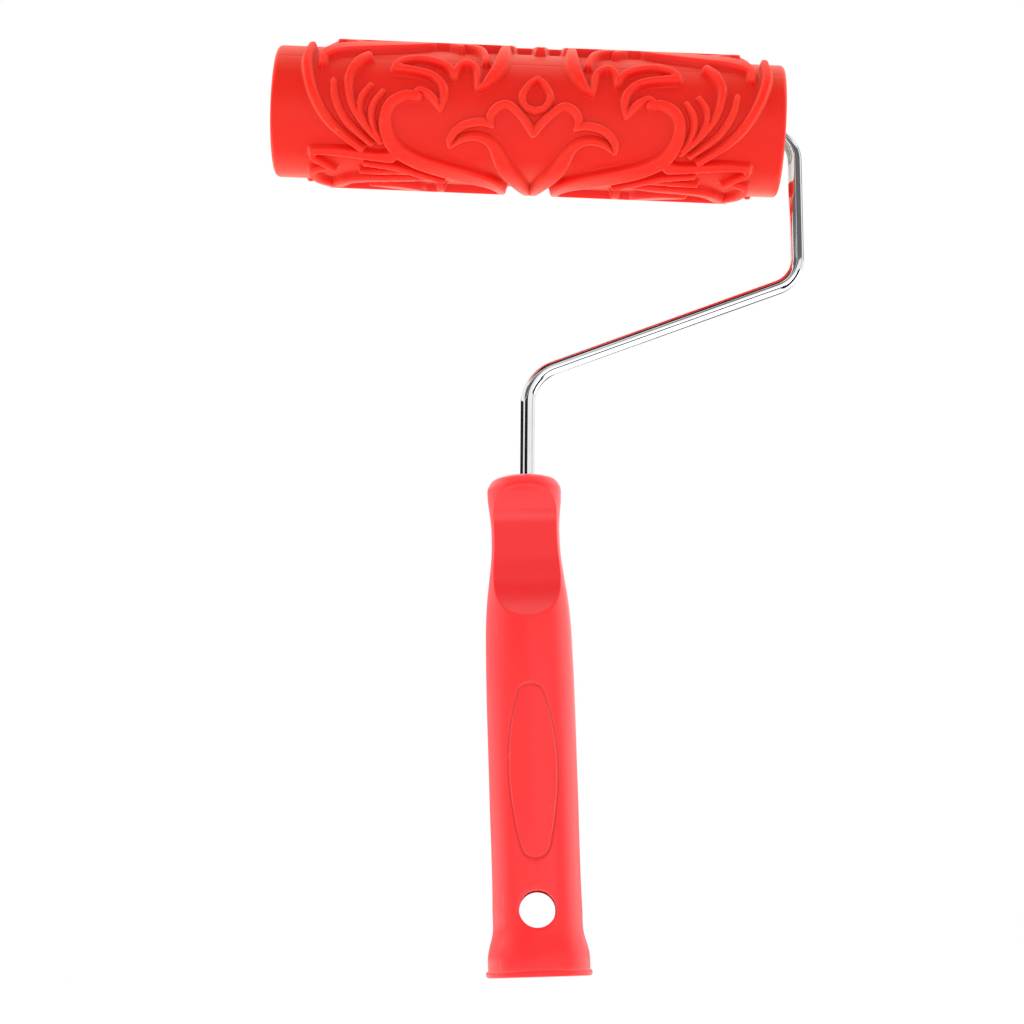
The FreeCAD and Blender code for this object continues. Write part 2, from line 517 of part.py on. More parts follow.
# ---------------------------------------------------------------- ornament of the sleeve
# Each rib is a run of (distance from the pattern's middle, angle round the roller, rib width)
# with the angle counted upwards from the line that faces the front.
RIBS = {
    "teardrop": [(0, 36.5, 2.0), (2.9, 30.5, 2.2), (4.8, 21, 2.3), (3.5, 12.2, 2.3), (0, 8.9, 2.3)],
    "tulip": [(0, -9, 2.8), (3.4, 1.5, 2.6), (6.8, 9.4, 2.6), (9.9, 13.6, 2.7), (13, 11.2, 2.7),
              (15, 5, 2.6), (15.2, -1, 2.2), (14.3, -4.5, 1.4)],
    "crescent_outer": [(14.3, -4.5, 1.4), (16.8, -1.9, 2.4), (20, -1.8, 2.6), (24, -4.6, 2.6),
                       (27, -10.5, 2.6), (28.3, -17, 2.4), (28.4, -23, 1.6)],
    "crescent_inner": [(28, -22, 1.6), (24, -15.5, 2.4), (19.5, -13.6, 2.6), (15.7, -16.5, 3.0),
                       (13, -23, 3.6), (11.2, -32, 4.6), (8.9, -43, 5.4), (5.8, -54, 5.4),
                       (3.4, -65, 4.6), (1.8, -76, 3.8), (1.0, -90, 2.4)],
    "foot_tip": [(0.9, 90, 2.8), (0.7, 81, 2.4)],
    "scroll": [(39.6, 17, 2.6), (44, 17.8, 3.4), (48.3, 12.5, 3.6), (50.4, 4, 3.8), (50.6, -7, 4.2),
               (49.5, -15.8, 4.6), (47.2, -24.5, 5.0), (43.3, -32, 5.4), (37.3, -39.3, 5.8),
               (29, -46.2, 6.2), (21, -52.5, 6.4), (13.8, -60, 5.6), (10.2, -70, 4.6), (9.4, -80, 3.8),
               (10.2, -90, 3.6)],
    "stem": [(11.4, 90, 3.6), (11.8, 72, 4.2), (12.4, 54, 5.0), (14.4, 40, 4.4), (17, 30, 3.0),
             (19.6, 25, 1.6)],
    "arch_low": [(41.5, 19.5, 1.8), (39.3, 22.3, 2.4), (36.1, 19, 2.6), (33.8, 13.5, 2.4),
                 (31.8, 7, 1.6)],
    "hook_leaf": [(31.8, 7, 1.6), (31.1, 18.5, 2.6), (32, 27.8, 2.8), (35.1, 34.8, 2.8),
                  (39.5, 38.5, 2.8), (44.3, 40.5, 3.0), (48.5, 41.8, 3.4)],
    "upper_leaf": [(48.5, 44, 3.2), (46, 50, 3.0), (40.4, 53.7, 2.8), (34, 50, 2.8),
                   (29.8, 43.4, 2.6), (28, 33.5, 1.6)],
    "arch_high": [(28, 33.5, 1.6), (27.4, 44, 2.4), (24.4, 50.2, 2.6), (20.9, 45, 2.4),
                  (20, 36, 2.2), (19.8, 25.5, 1.6)],
    "back_hook": [(17.6, 53, 2.6), (18.3, 63, 2.8), (20.2, 73, 3.0), (23.5, 80, 3.2), (28, 83, 3.0)],
    "feather_long": [(78.6, 68, 3.4), (79.4, 48, 3.6), (78, 29, 3.3), (74.9, 11, 3.2),
                     (70.6, -4, 3.0), (64.9, -16.4, 2.8), (58.4, -27.4, 2.6)],
    "feather_second": [(69.5, 28, 1.8), (68.2, 12, 2.3), (64.6, -3.5, 2.3), (59.6, -14.5, 2.2),
                       (55.1, -23, 2.0)],
    "feather_club": [(58.6, 54, 3.8), (61.6, 46.5, 4.0), (64, 35, 3.0), (64, 23, 2.5),
                     (62.4, 9, 2.4), (59.2, -2.5, 2.3), (55.7, -12.4, 2.2), (51.8, -21.2, 2.0)],
    "feather_fourth": [(56.5, 25, 1.8), (59.1, 15.5, 2.2), (59.6, 4.5, 2.2), (57.6, -5, 2.0),
                       (55.2, -12, 1.8)],
    "feather_short": [(52.2, 20, 1.8), (54.9, 10, 2.2), (55.5, 0, 2.2), (54.3, -10.6, 2.0),
                      (52.2, -18, 2.0)],
    "low_leaf": [(48, -34, 4.4), (53, -34.2, 3.6), (60, -32.5, 3.4), (67, -30.9, 3.4),
                 (75.3, -31.2, 3.0)],
    "low_hook": [(75.2, -32.2, 2.6), (75, -38, 2.6), (71, -43.8, 2.4), (67.5, -50.5, 1.6)],
    "curl_lobe": [(70.9, -48, 2.4), (75.5, -53, 3.0), (74.2, -65, 3.2), (70, -77, 3.2)],
    "under_leaf": [(57, -41.4, 2.2), (51.5, -43, 2.4), (45.8, -45.2, 2.4), (40.1, -50.2, 2.4),
                   (35, -55, 2.2), (29.5, -61, 1.4)],
    "under_branch": [(58.3, -50.7, 2.0), (52, -50.2, 2.2), (45.7, -49.2, 2.2), (41.6, -49.4, 2.0)],
    "trailing_leaf": [(66.8, -75, 4.6), (63.2, -65.5, 3.8), (58, -61.5, 3.2), (50, -59.4, 3.0),
                      (42.5, -57.8, 2.8), (36, -55.8, 2.0)],
    "horizon_leaf": [(74, 44, 2.4), (73.4, 56, 4.2), (67.6, 66, 5.6), (58, 72, 6.4), (48, 77, 6.6),
                     (40, 83, 6.0), (36.5, 90, 4.6)],
    "horizon_vein": [(26.8, 76, 2.6), (29.5, 84, 3.4), (30.5, 90, 3.6)],
    "horizon_vein_end": [(30.5, -90, 3.6), (31, -82, 3.0), (29.5, -74, 1.8)],
    "horizon_leaf_end": [(36.5, -90, 4.6), (40, -80, 5.0), (47, -73, 4.4), (55, -70, 2.4)],
    "curl_link": [(70, -77, 3.2), (67.5, -90, 3.4)],
    "curl_link_end": [(67.5, 90, 3.4), (63, 80, 3.2), (58, 73, 3.0)],
    "seam_top": [(11.5, 90, 5.0), (30, 90, 5.0), (50, 90, 5.0), (69, 90, 4.4)],
    "seam_foot": [(11.5, -90, 5.0), (30, -90, 5.0), (50, -90, 5.0), (69, -90, 4.4)],
}
# one bar more on the half turn behind, just above the front one's upper seam
BACK_RIBS = {"seam_bar": [(-1, -75, 4.4), (5, -75, 4.4), (11, -75, 4.4)]}


def rib_outline(run):
    """Closed smooth outline of one rib on the flat: X along the roller, Y round it (mm)."""
    mm_per_degree = math.pi * D["sleeve_radius"] / 180.0
    spine = Part.BSplineCurve()
    pts = [V(s, a * mm_per_degree, 0) for s, a, _ in run]
    spine.interpolate(pts)
    knots = [spine.parameter(p) for p in pts]
    left, right = [], []
    stations = []
    for k in range(len(run) - 1):
        for part in (0.0, 0.5):
            stations.append((knots[k] + (knots[k + 1] - knots[k]) * part,
                             run[k][2] + (run[k + 1][2] - run[k][2]) * part))
    stations.append((knots[-1], run[-1][2]))
    for t, width in stations:
        p = spine.value(t)
        d = V(*spine.tangent(t)[0])
        n = V(-d.y, d.x, 0)
        left.append(p + n * (width / 2))
        right.append(p - n * (width / 2))
    d0, d1 = V(*spine.tangent(knots[0])[0]), V(*spine.tangent(knots[-1])[0])
    tip0 = pts[0] - d0 * (run[0][2] * 0.5)
    tip1 = pts[-1] + d1 * (run[-1][2] * 0.5)
    ring = [tip0] + left + [tip1] + right[::-1]
    outline = Part.BSplineCurve()
    outline.interpolate(Points=ring, PeriodicFlag=True)
    return Part.Face(Part.Wire(outline.toShape()))


LONGEST_SPAN = 9.0      # longest run of a rib's edge that is bent round the drum in one go


def merged(flat_faces):
    """Faces of the flat pattern joined one after another into as few faces as they make."""
    whole = flat_faces[0]
    for face in flat_faces[1:]:
        whole = Part.makeCompound(whole.fuse(face).Faces)
        whole.sewShape()
        whole = whole.removeSplitter()
    return whole.Faces


def quarter_region():
    """Ribs of the quarter right of the pattern's middle line, as the mirror pair leaves them.

    Beside them come the faces of the extra bar, less what the ribs already cover.
    """
    right = merged([rib_outline(run) for run in RIBS.values()])
    left = [face.mirror(V(0, 0, 0), V(1, 0, 0)) for face in right]
    quarter = math.pi * D["sleeve_radius"] / 2
    reach = D["sleeve_length"] / 2 - D["relief_margin"]
    band = Part.makePlane(reach, 2 * quarter, V(0, -quarter, 0))
    ribs = Part.makeCompound([f.common(band) for f in merged(right + left)])
    bar = Part.makeCompound([rib_outline(run).common(band) for run in BACK_RIBS.values()])
    return ribs.Faces, bar.cut(ribs).Faces


def short_spans(edge):
    """Parameter pairs that share a long edge out into short runs."""
    count = max(1, math.ceil(edge.Length / LONGEST_SPAN))
    if count == 1 and edge.isClosed():
        count = 2
    first, last = edge.FirstParameter, edge.LastParameter
    marks = [first + (last - first) * k / count for k in range(count + 1)]
    return list(zip(marks, marks[1:]))


def wrapped_edge(edge, span, drum):
    """Bend a run of a flat edge round a drum; lengths round it are taken at the bare radius."""
    flat = edge.Curve.toBSpline(*span)
    if flat.isPeriodic():
        flat.setNotPeriodic()
    poles = [FreeCAD.Base.Vector2d(math.pi - p.y / D["sleeve_radius"], p.x + D["pattern_shift"])
             for p in flat.getPoles()]
    bent = Part.Geom2d.BSplineCurve2d()
    bent.buildFromPolesMultsKnots(poles, flat.getMultiplicities(), flat.getKnots(), False,
                                  flat.Degree, flat.getWeights())
    return bent.toShape(drum)


def cut_from_drum(drum, wires, area):
    """The piece of a drum's surface that the wires enclose, known by its area."""
    reach = D["sleeve_length"] / 2
    skin = drum.toShape(0, 2 * math.pi, -reach, reach)
    pieces, _ = skin.generalFuse(wires)
    return min(pieces.Faces, key=lambda piece: abs(piece.Area - area))


def raised_solid(face, inner, outer):
    """Radial block standing on the drum under one face of the flat region."""
    walls, low_wires, high_wires = [], [], []
    for wire in face.Wires:
        low, high = [], []
        for edge in wire.OrderedEdges:
            for span in short_spans(edge):
                low.append(wrapped_edge(edge, span, inner))
                high.append(wrapped_edge(edge, span, outer))
                walls.append(Part.makeRuledSurface(low[-1], high[-1]))
        low_wires.append(Part.Wire(Part.__sortEdges__(low)))
        high_wires.append(Part.Wire(Part.__sortEdges__(high)))
    floor = cut_from_drum(inner, low_wires, face.Area * D["relief_root"] / D["sleeve_radius"])
    roof = cut_from_drum(outer, high_wires, face.Area * D["relief_radius"] / D["sleeve_radius"])
    block = Part.makeCompound(walls + [floor, roof])
    block.sewShape(1e-3)
    shell = block if block.ShapeType == "Shell" else block.Shells[0]
    solid = Part.makeSolid(shell)
    if solid.Volume < 0:
        solid.reverse()
    return solid


def mirrored(block):
    """The block's twin on the other side of the pattern's middle line."""
    twin = block.mirror(V(0, 0, D["pattern_shift"]), V(0, 0, 1))
    if twin.Volume < 0:
        twin.reverse()
    return twin


def make_relief():
    """Blocks of the front half turn, then of the half turn behind with its extra bar."""
    inner, outer = Part.Cylinder(), Part.Cylinder()
    for drum, radius in ((inner, D["relief_root"]), (outer, D["relief_radius"])):
        drum.Radius = radius
    ribs, bar = [[raised_solid(f, inner, outer) for f in faces] for faces in quarter_region()]
    front = ribs + [mirrored(block) for block in ribs]
    back = [block.copy() for block in front] + bar + [mirrored(block) for block in bar]
    for block in back:
        block.rotate(V(0, 0, 0), V(0, 0, 1), 180)
    return front + back


def make_pattern_sleeve():
    length = D["sleeve_length"]
    drum = Part.makeCylinder(D["sleeve_radius"], length, V(0, 0, -length / 2))
    rims = [e for e in drum.Edges if e.BoundBox.ZLength < 1e-6]
    drum = drum.makeFillet(D["sleeve_round"], rims)
    body = drum.fuse(make_relief())
    body = body.cut(Part.makeCylinder(D["tube_radius"], length + 2, V(0, 0, -length / 2 - 1)))
    sleeve = doc.addObject("Part::Feature", "pattern_sleeve")
    sleeve.Shape = body.Solids[0] if len(body.Solids) == 1 else body
    sleeve.Placement = axle_placement()
    return sleeve


# ---------------------------------------------------------------- build, check and write
def main():
    nodes = [
        make_handle(),
        make_frame_wire(),
        make_core_tube(),
        make_cap("end_cap_arm", True),
        make_cap("end_cap_free", False),
        make_washer("washer_arm", True),
        make_washer("washer_free", False),
        make_push_nut(),
        make_pattern_sleeve(),
    ]
    names = ["handle", "frame_wire", "core_tube", "end_cap_arm", "end_cap_free", "washer_arm",
             "washer_free", "push_nut", "pattern_sleeve"]
    for obj, name in zip(nodes, names):
        obj.Label = name
    doc.recompute()
    for obj in doc.Objects:
        bad = [s for s in obj.State if s in ("Invalid", "Error")]
        if bad:
            raise RuntimeError("%s is %s" % (obj.Name, bad))
    os.makedirs("parts", exist_ok=True)
    for obj, name in zip(nodes, names):
        shape = obj.Shape
        if shape.isNull() or not shape.isValid() or not shape.Solids:
            raise RuntimeError("%s has no valid solid" % name)
        shape.exportStep(os.path.join("parts", name + ".step"))
        box = shape.BoundBox
        print("%-15s solids %d faces %4d volume %9.1f  x %.1f..%.1f y %.1f..%.1f z %.1f..%.1f" % (
            name, len(shape.Solids), len(shape.Faces), shape.Volume, box.XMin, box.XMax, box.YMin,
            box.YMax, box.ZMin, box.ZMax))


main()
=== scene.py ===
import json
import math

import bmesh
import bpy
import numpy as np
from mathutils import Matrix, Vector


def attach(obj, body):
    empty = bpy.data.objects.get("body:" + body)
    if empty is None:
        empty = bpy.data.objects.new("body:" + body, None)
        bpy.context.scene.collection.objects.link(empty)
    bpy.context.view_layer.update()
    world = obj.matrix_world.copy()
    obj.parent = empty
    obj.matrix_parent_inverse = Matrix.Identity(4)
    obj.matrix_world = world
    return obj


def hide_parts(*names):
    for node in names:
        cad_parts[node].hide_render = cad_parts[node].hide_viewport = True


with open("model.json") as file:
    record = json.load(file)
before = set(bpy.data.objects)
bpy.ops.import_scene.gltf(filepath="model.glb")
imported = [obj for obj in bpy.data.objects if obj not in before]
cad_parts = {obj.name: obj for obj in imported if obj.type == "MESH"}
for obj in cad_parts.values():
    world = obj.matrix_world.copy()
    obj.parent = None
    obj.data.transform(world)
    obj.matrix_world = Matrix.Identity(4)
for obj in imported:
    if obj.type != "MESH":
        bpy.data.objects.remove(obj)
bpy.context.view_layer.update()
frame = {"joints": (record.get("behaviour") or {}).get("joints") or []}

MM = 0.001

# ---------------------------------------------------------------- the roller's own frame
SPIN = next(j for j in frame["joints"] if j["name"] == "roller_spin")
ROLLER_AT = Vector(SPIN["pos_m"])
AXLE = Vector(SPIN["axis"]).normalized()          # along the axle, towards the rod's leg
FACING_DROP = math.radians(22.5)                  # the pattern's zero line faces forwards and down
FRONT = Vector((0, -math.cos(FACING_DROP), -math.sin(FACING_DROP)))
FRONT = (FRONT - AXLE * FRONT.dot(AXLE)).normalized()
RISE = FRONT.cross(AXLE)
if RISE.z < 0:
    RISE = -RISE

# sizes of the roller, as in the CAD (mm)
SLEEVE_LENGTH = 177.8
BARE_RADIUS = 23.0
RELIEF_HEIGHT = 3.0
END_ROUND = 1.7
TUBE_RADIUS = 18.0
PATTERN_SHIFT = 1.75


def quick_or(full):
    return full


# ---------------------------------------------------------------- mesh helpers
def new_object(name, verts, faces):
    mesh = bpy.data.meshes.new(name)
    mesh.from_pydata([tuple(v) for v in verts], [], faces)
    mesh.validate()
    mesh.update()
    obj = bpy.data.objects.new(name, mesh)
    bpy.context.scene.collection.objects.link(obj)
    mesh.shade_smooth()
    return obj


def ring_faces(rings, per_ring, closed_ends=(False, False)):
    """Quads between successive closed rings of equal count."""
    faces = []
    for r in range(rings - 1):
        a, b = r * per_ring, (r + 1) * per_ring
        for c in range(per_ring):
            d = (c + 1) % per_ring
            faces.append((a + c, a + d, b + d, b + c))
    if closed_ends[0]:
        faces.append(tuple(range(per_ring))[::-1])
    if closed_ends[1]:
        last = (rings - 1) * per_ring
        faces.append(tuple(range(last, last + per_ring)))
    return faces


def outward(obj):
    """Turns every face's normal outwards."""
    bm = bmesh.new()
    bm.from_mesh(obj.data)
    bmesh.ops.recalc_face_normals(bm, faces=bm.faces)
    bm.to_mesh(obj.data)
    bm.free()
    obj.data.update()


def apply_modifiers(obj):
    graph = bpy.context.evaluated_depsgraph_get()
    baked = bpy.data.meshes.new_from_object(obj.evaluated_get(graph))
    obj.modifiers.clear()
    obj.data = baked


def drilled(obj, drills):
    """Cuts the drills out of the object and removes them."""
    for drill in drills:
        cut = obj.modifiers.new(drill.name, "BOOLEAN")
        cut.operation, cut.solver, cut.object = "DIFFERENCE", "EXACT", drill
    apply_modifiers(obj)
    for drill in drills:
        bpy.data.objects.remove(drill)
    obj.data.shade_smooth()


def finish_piece(obj, material, node, body, crease=40.0):
    """Keeps edges over the crease angle crisp; the piece takes its node's place on its body."""
    obj.data.set_sharp_from_angle(angle=math.radians(crease))
    obj.data.materials.append(material)
    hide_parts(node)
    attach(obj, body)


# ---------------------------------------------------------------- node helpers
class Nodes:
    """A small writer for one node tree, of a material or of the world."""

    def __init__(self, name, world=False):
        self.material = (bpy.data.worlds if world else bpy.data.materials).new(name)
        self.material.use_nodes = True
        self.tree = self.material.node_tree
        self.tree.nodes.clear()
        self.out = self.tree.nodes.new("ShaderNodeOutput" + ("World" if world else "Material"))
        self.coordinates = "Generated" if world else "Object"

    def node(self, kind, **settings):
        node = self.tree.nodes.new(kind)
        for key, value in settings.items():
            if key in node.inputs.keys():
                node.inputs[key].default_value = value
            else:
                setattr(node, key, value)
        return node

    def link(self, source, target):
        self.tree.links.new(source, target)

    def feed(self, value, socket):
        """Links an output to the socket, or sets a plain value on it."""
        if hasattr(value, "is_output"):
            self.link(value, socket)
        else:
            socket.default_value = value

    def noise(self, scale, detail=4.0, roughness=0.55, source=None):
        node = self.node("ShaderNodeTexNoise", Scale=scale, Detail=detail, Roughness=roughness)
        self.link(source or self.place(), node.inputs["Vector"])
        return node.outputs["Fac"]

    def place(self):
        if not hasattr(self, "_place"):
            self._place = self.node("ShaderNodeTexCoord").outputs[self.coordinates]
        return self._place

    def ramp(self, source, stops):
        node = self.node("ShaderNodeValToRGB")
        ramp = node.color_ramp
        while len(ramp.elements) < len(stops):
            ramp.elements.new(0.5)
        for element, (at, value) in zip(ramp.elements, stops):
            element.position, element.color = at, value
        self.link(source, node.inputs["Fac"])
        return node.outputs["Color"]

    def levels(self, source, low, high, out_low, out_high):
        node = self.node("ShaderNodeMapRange")
        for key, value in (("From Min", low), ("From Max", high), ("To Min", out_low),
                           ("To Max", out_high)):
            node.inputs[key].default_value = value
        self.link(source, node.inputs["Value"])
        return node.outputs["Result"]

    def mix(self, factor, first, second):
        node = self.node("ShaderNodeMix", data_type="RGBA")
        for key, value in ((0, factor), (6, first), (7, second)):
            self.feed(value, node.inputs[key])
        return node.outputs[2]

    def maths(self, operation, first, second):
        node = self.node("ShaderNodeMath", operation=operation)
        self.feed(first, node.inputs[0])
        self.feed(second, node.inputs[1])
        return node.outputs[0]

    def attribute(self, name, output="Fac"):
        return self.node("ShaderNodeAttribute", attribute_name=name).outputs[output]

    def vector(self, operation, first, second=None):
        node = self.node("ShaderNodeVectorMath", operation=operation)
        self.feed(first, node.inputs[0])
        if second is not None:
            self.feed(second, node.inputs[1])
        return node.outputs["Value" if operation in ("LENGTH", "DOT_PRODUCT") else "Vector"]

    def off_axle(self):
        """Distance from the axle's line, in mm."""
        arm = self.vector("SUBTRACT", self.place(), tuple(ROLLER_AT))
        away = self.vector("LENGTH", self.vector("CROSS_PRODUCT", arm, tuple(AXLE)))
        return self.maths("DIVIDE", away, MM)

    def edge_wear_and_highlight(self, base, share, edge_colour):
        """The base colour with its convex edges paled towards the edge colour: edge wear, and on
        the rubber a painted highlight along the rib edges.
        """
        edges = self.levels(self.node("ShaderNodeNewGeometry").outputs["Pointiness"],
                            0.52, 0.62, 0.0, 1.0)
        return self.mix(self.maths("MULTIPLY", edges, share), base, edge_colour)

    def rim(self, base, low, high, share, pale):
        """The base colour turning pale where the surface turns away from the eye: a painted
        reflection of the bright surroundings at grazing angles.
        """
        facing = self.node("ShaderNodeLayerWeight", Blend=0.35).outputs["Facing"]
        return self.mix(self.levels(facing, low, high, 0.0, share), base, pale)

    def bump(self, height, strength, distance, normal=None):
        node = self.node("ShaderNodeBump", Strength=strength, Distance=distance)
        self.link(height, node.inputs["Height"])
        if normal is not None:
            self.link(normal, node.inputs["Normal"])
        return node.outputs["Normal"]

    def surface(self, **inputs):
        shader = self.node("ShaderNodeBsdfPrincipled")
        for key, value in inputs.items():
            self.feed(value, shader.inputs[key.replace("_", " ")])
        self.link(shader.outputs[0], self.out.inputs[0])
        return self.material


def colour(r, g, b):
    """Display colour (0 to 255) as linear RGBA."""
    def linear(c):
        c /= 255.0
        return c / 12.92 if c <= 0.04045 else ((c + 0.055) / 1.055) ** 2.4
    return (linear(r), linear(g), linear(b), 1.0)


# ---------------------------------------------------------------- materials
def rubber_material():
    n = Nodes("sleeve_rubber")
    relief = n.levels(n.off_axle(), BARE_RADIUS, BARE_RADIUS + RELIEF_HEIGHT, 0.0, 1.0)
    cloud = n.noise(38.0, 3.0)
    grain = n.noise(2600.0, 3.0)
    pits = n.noise(620.0, 5.0, 0.65)
    # colour by relief height: painted shade darkening the ribs' roots, and lighter towards the rib
    # tops
    base = n.ramp(relief, [(0.0, colour(213, 26, 8)), (0.12, colour(210, 20, 7)),
                           (0.45, colour(212, 18, 7)), (0.85, colour(228, 27, 10)),
                           (1.0, colour(233, 31, 13))])
    base = n.mix(n.levels(cloud, 0.35, 0.7, 0.0, 0.35), base, colour(215, 20, 7))
    # painted highlight: the ribs' convex edges paled
    base = n.edge_wear_and_highlight(base, 0.4, colour(250, 78, 60))
    # painted reflection of the bright surroundings on faces turned away from the eye
    base = n.rim(base, 0.15, 0.9, 0.62, colour(255, 116, 92))
    scuff = n.maths("MULTIPLY", n.levels(pits, 0.6, 0.74, 0.0, 1.0),
                    n.levels(relief, 0.9, 1.0, 0.0, 0.22))
    base = n.mix(scuff, base, colour(255, 120, 104))
    rough = n.maths("ADD", n.levels(cloud, 0.3, 0.7, 0.38, 0.5), n.maths("MULTIPLY", scuff, 0.4))
    normal = n.bump(grain, 0.10, 0.00012)
    normal = n.bump(pits, 0.12, 0.0002, normal)
    return n.surface(Base_Color=base, Roughness=rough, Normal=normal, Subsurface_Weight=0.22,
                     Subsurface_Radius=(1.0, 0.22, 0.14), Subsurface_Scale=0.0022,
                     Specular_IOR_Level=0.22, Sheen_Weight=0.12, Sheen_Roughness=0.4,
                     Sheen_Tint=colour(255, 200, 170))


def handle_material():
    n = Nodes("handle_plastic")
    dish = n.attribute("dish")
    cloud = n.noise(26.0, 3.0)
    grain = n.noise(3200.0, 2.0)
    orange = n.noise(900.0, 3.0)
    fresh, deep = colour(252, 22, 26), colour(240, 17, 21)
    base = n.mix(n.levels(cloud, 0.35, 0.7, 0.0, 0.3), fresh, deep)
    # painted shade in the hollow of the thumb dish
    base = n.mix(n.maths("MULTIPLY", dish, 0.75), base, colour(222, 23, 28))
    # painted shade in the panel line's groove
    base = n.mix(n.maths("MULTIPLY", n.attribute("groove"), 0.6), base, colour(176, 10, 14))
    base = n.edge_wear_and_highlight(base, 0.3, colour(255, 96, 98))
    marks = n.levels(n.noise(210.0, 6.0, 0.7), 0.66, 0.74, 0.0, 0.10)
    base = n.mix(marks, base, colour(255, 140, 140))
    # painted reflection of the bright surroundings on the grip's sides
    base = n.rim(base, 0.1, 0.8, 0.7, colour(255, 124, 126))
    rough = n.maths("SUBTRACT", n.levels(cloud, 0.3, 0.7, 0.34, 0.44),
                    n.maths("MULTIPLY", dish, 0.08))
    texture = n.maths("SUBTRACT", 1.0, n.maths("MULTIPLY", dish, 0.85))
    fine = n.node("ShaderNodeBump", Distance=0.00010)
    n.link(n.maths("MULTIPLY", texture, 0.22), fine.inputs["Strength"])
    n.link(grain, fine.inputs["Height"])
    normal = n.bump(orange, 0.06, 0.0002, fine.outputs["Normal"])
    return n.surface(Base_Color=base, Roughness=rough, Normal=normal, Subsurface_Weight=0.18,
                     Subsurface_Radius=(1.0, 0.3, 0.3), Subsurface_Scale=0.002,
                     Specular_IOR_Level=0.6, Coat_Weight=0.15, Coat_Roughness=0.2,
                     Sheen_Weight=0.16, Sheen_Roughness=0.35, Sheen_Tint=colour(255, 205, 205))


def chrome_material():
    n = Nodes("plated_rod")
    draw = n.noise(6.0, 4.0, 0.6, n.attribute("rod_cell", "Vector"))
    haze = n.noise(90.0, 4.0, 0.6)
    base = n.mix(n.levels(haze, 0.4, 0.7, 0.0, 0.35), colour(236, 238, 240), colour(214, 217, 220))
    rough = n.maths("ADD", n.levels(haze, 0.35, 0.7, 0.035, 0.10),
                    n.levels(draw, 0.5, 0.8, 0.0, 0.05))
    normal = n.bump(draw, 0.05, 0.00005)
    return n.surface(Base_Color=base, Metallic=1.0, Roughness=rough, Normal=normal)


def steel_material():
    n = Nodes("spring_steel")
    haze = n.noise(240.0, 5.0, 0.6)
    base = n.mix(n.levels(haze, 0.4, 0.7, 0.0, 1.0), colour(196, 198, 202), colour(158, 161, 166))
    rough = n.levels(haze, 0.3, 0.7, 0.22, 0.38)
    return n.surface(Base_Color=base, Metallic=1.0, Roughness=rough,
                     Normal=n.bump(haze, 0.15, 0.0001))


def pale_plastic_material(name, light, shade, roughness):
    n = Nodes(name)
    cloud = n.noise(70.0, 4.0)
    grain = n.noise(2400.0, 3.0)
    base = n.mix(n.levels(cloud, 0.35, 0.7, 0.0, 0.8), light, shade)
    dust = n.levels(n.noise(320.0, 6.0, 0.7), 0.58, 0.74, 0.0, 0.25)
    base = n.mix(dust, base, colour(188, 176, 164))
    rough = n.levels(cloud, 0.3, 0.7, roughness - 0.05, roughness + 0.08)
    return n.surface(Base_Color=base, Roughness=rough, Normal=n.bump(grain, 0.14, 0.0001),
                     Subsurface_Weight=0.15, Subsurface_Radius=(0.8, 0.8, 0.7),
                     Subsurface_Scale=0.001)


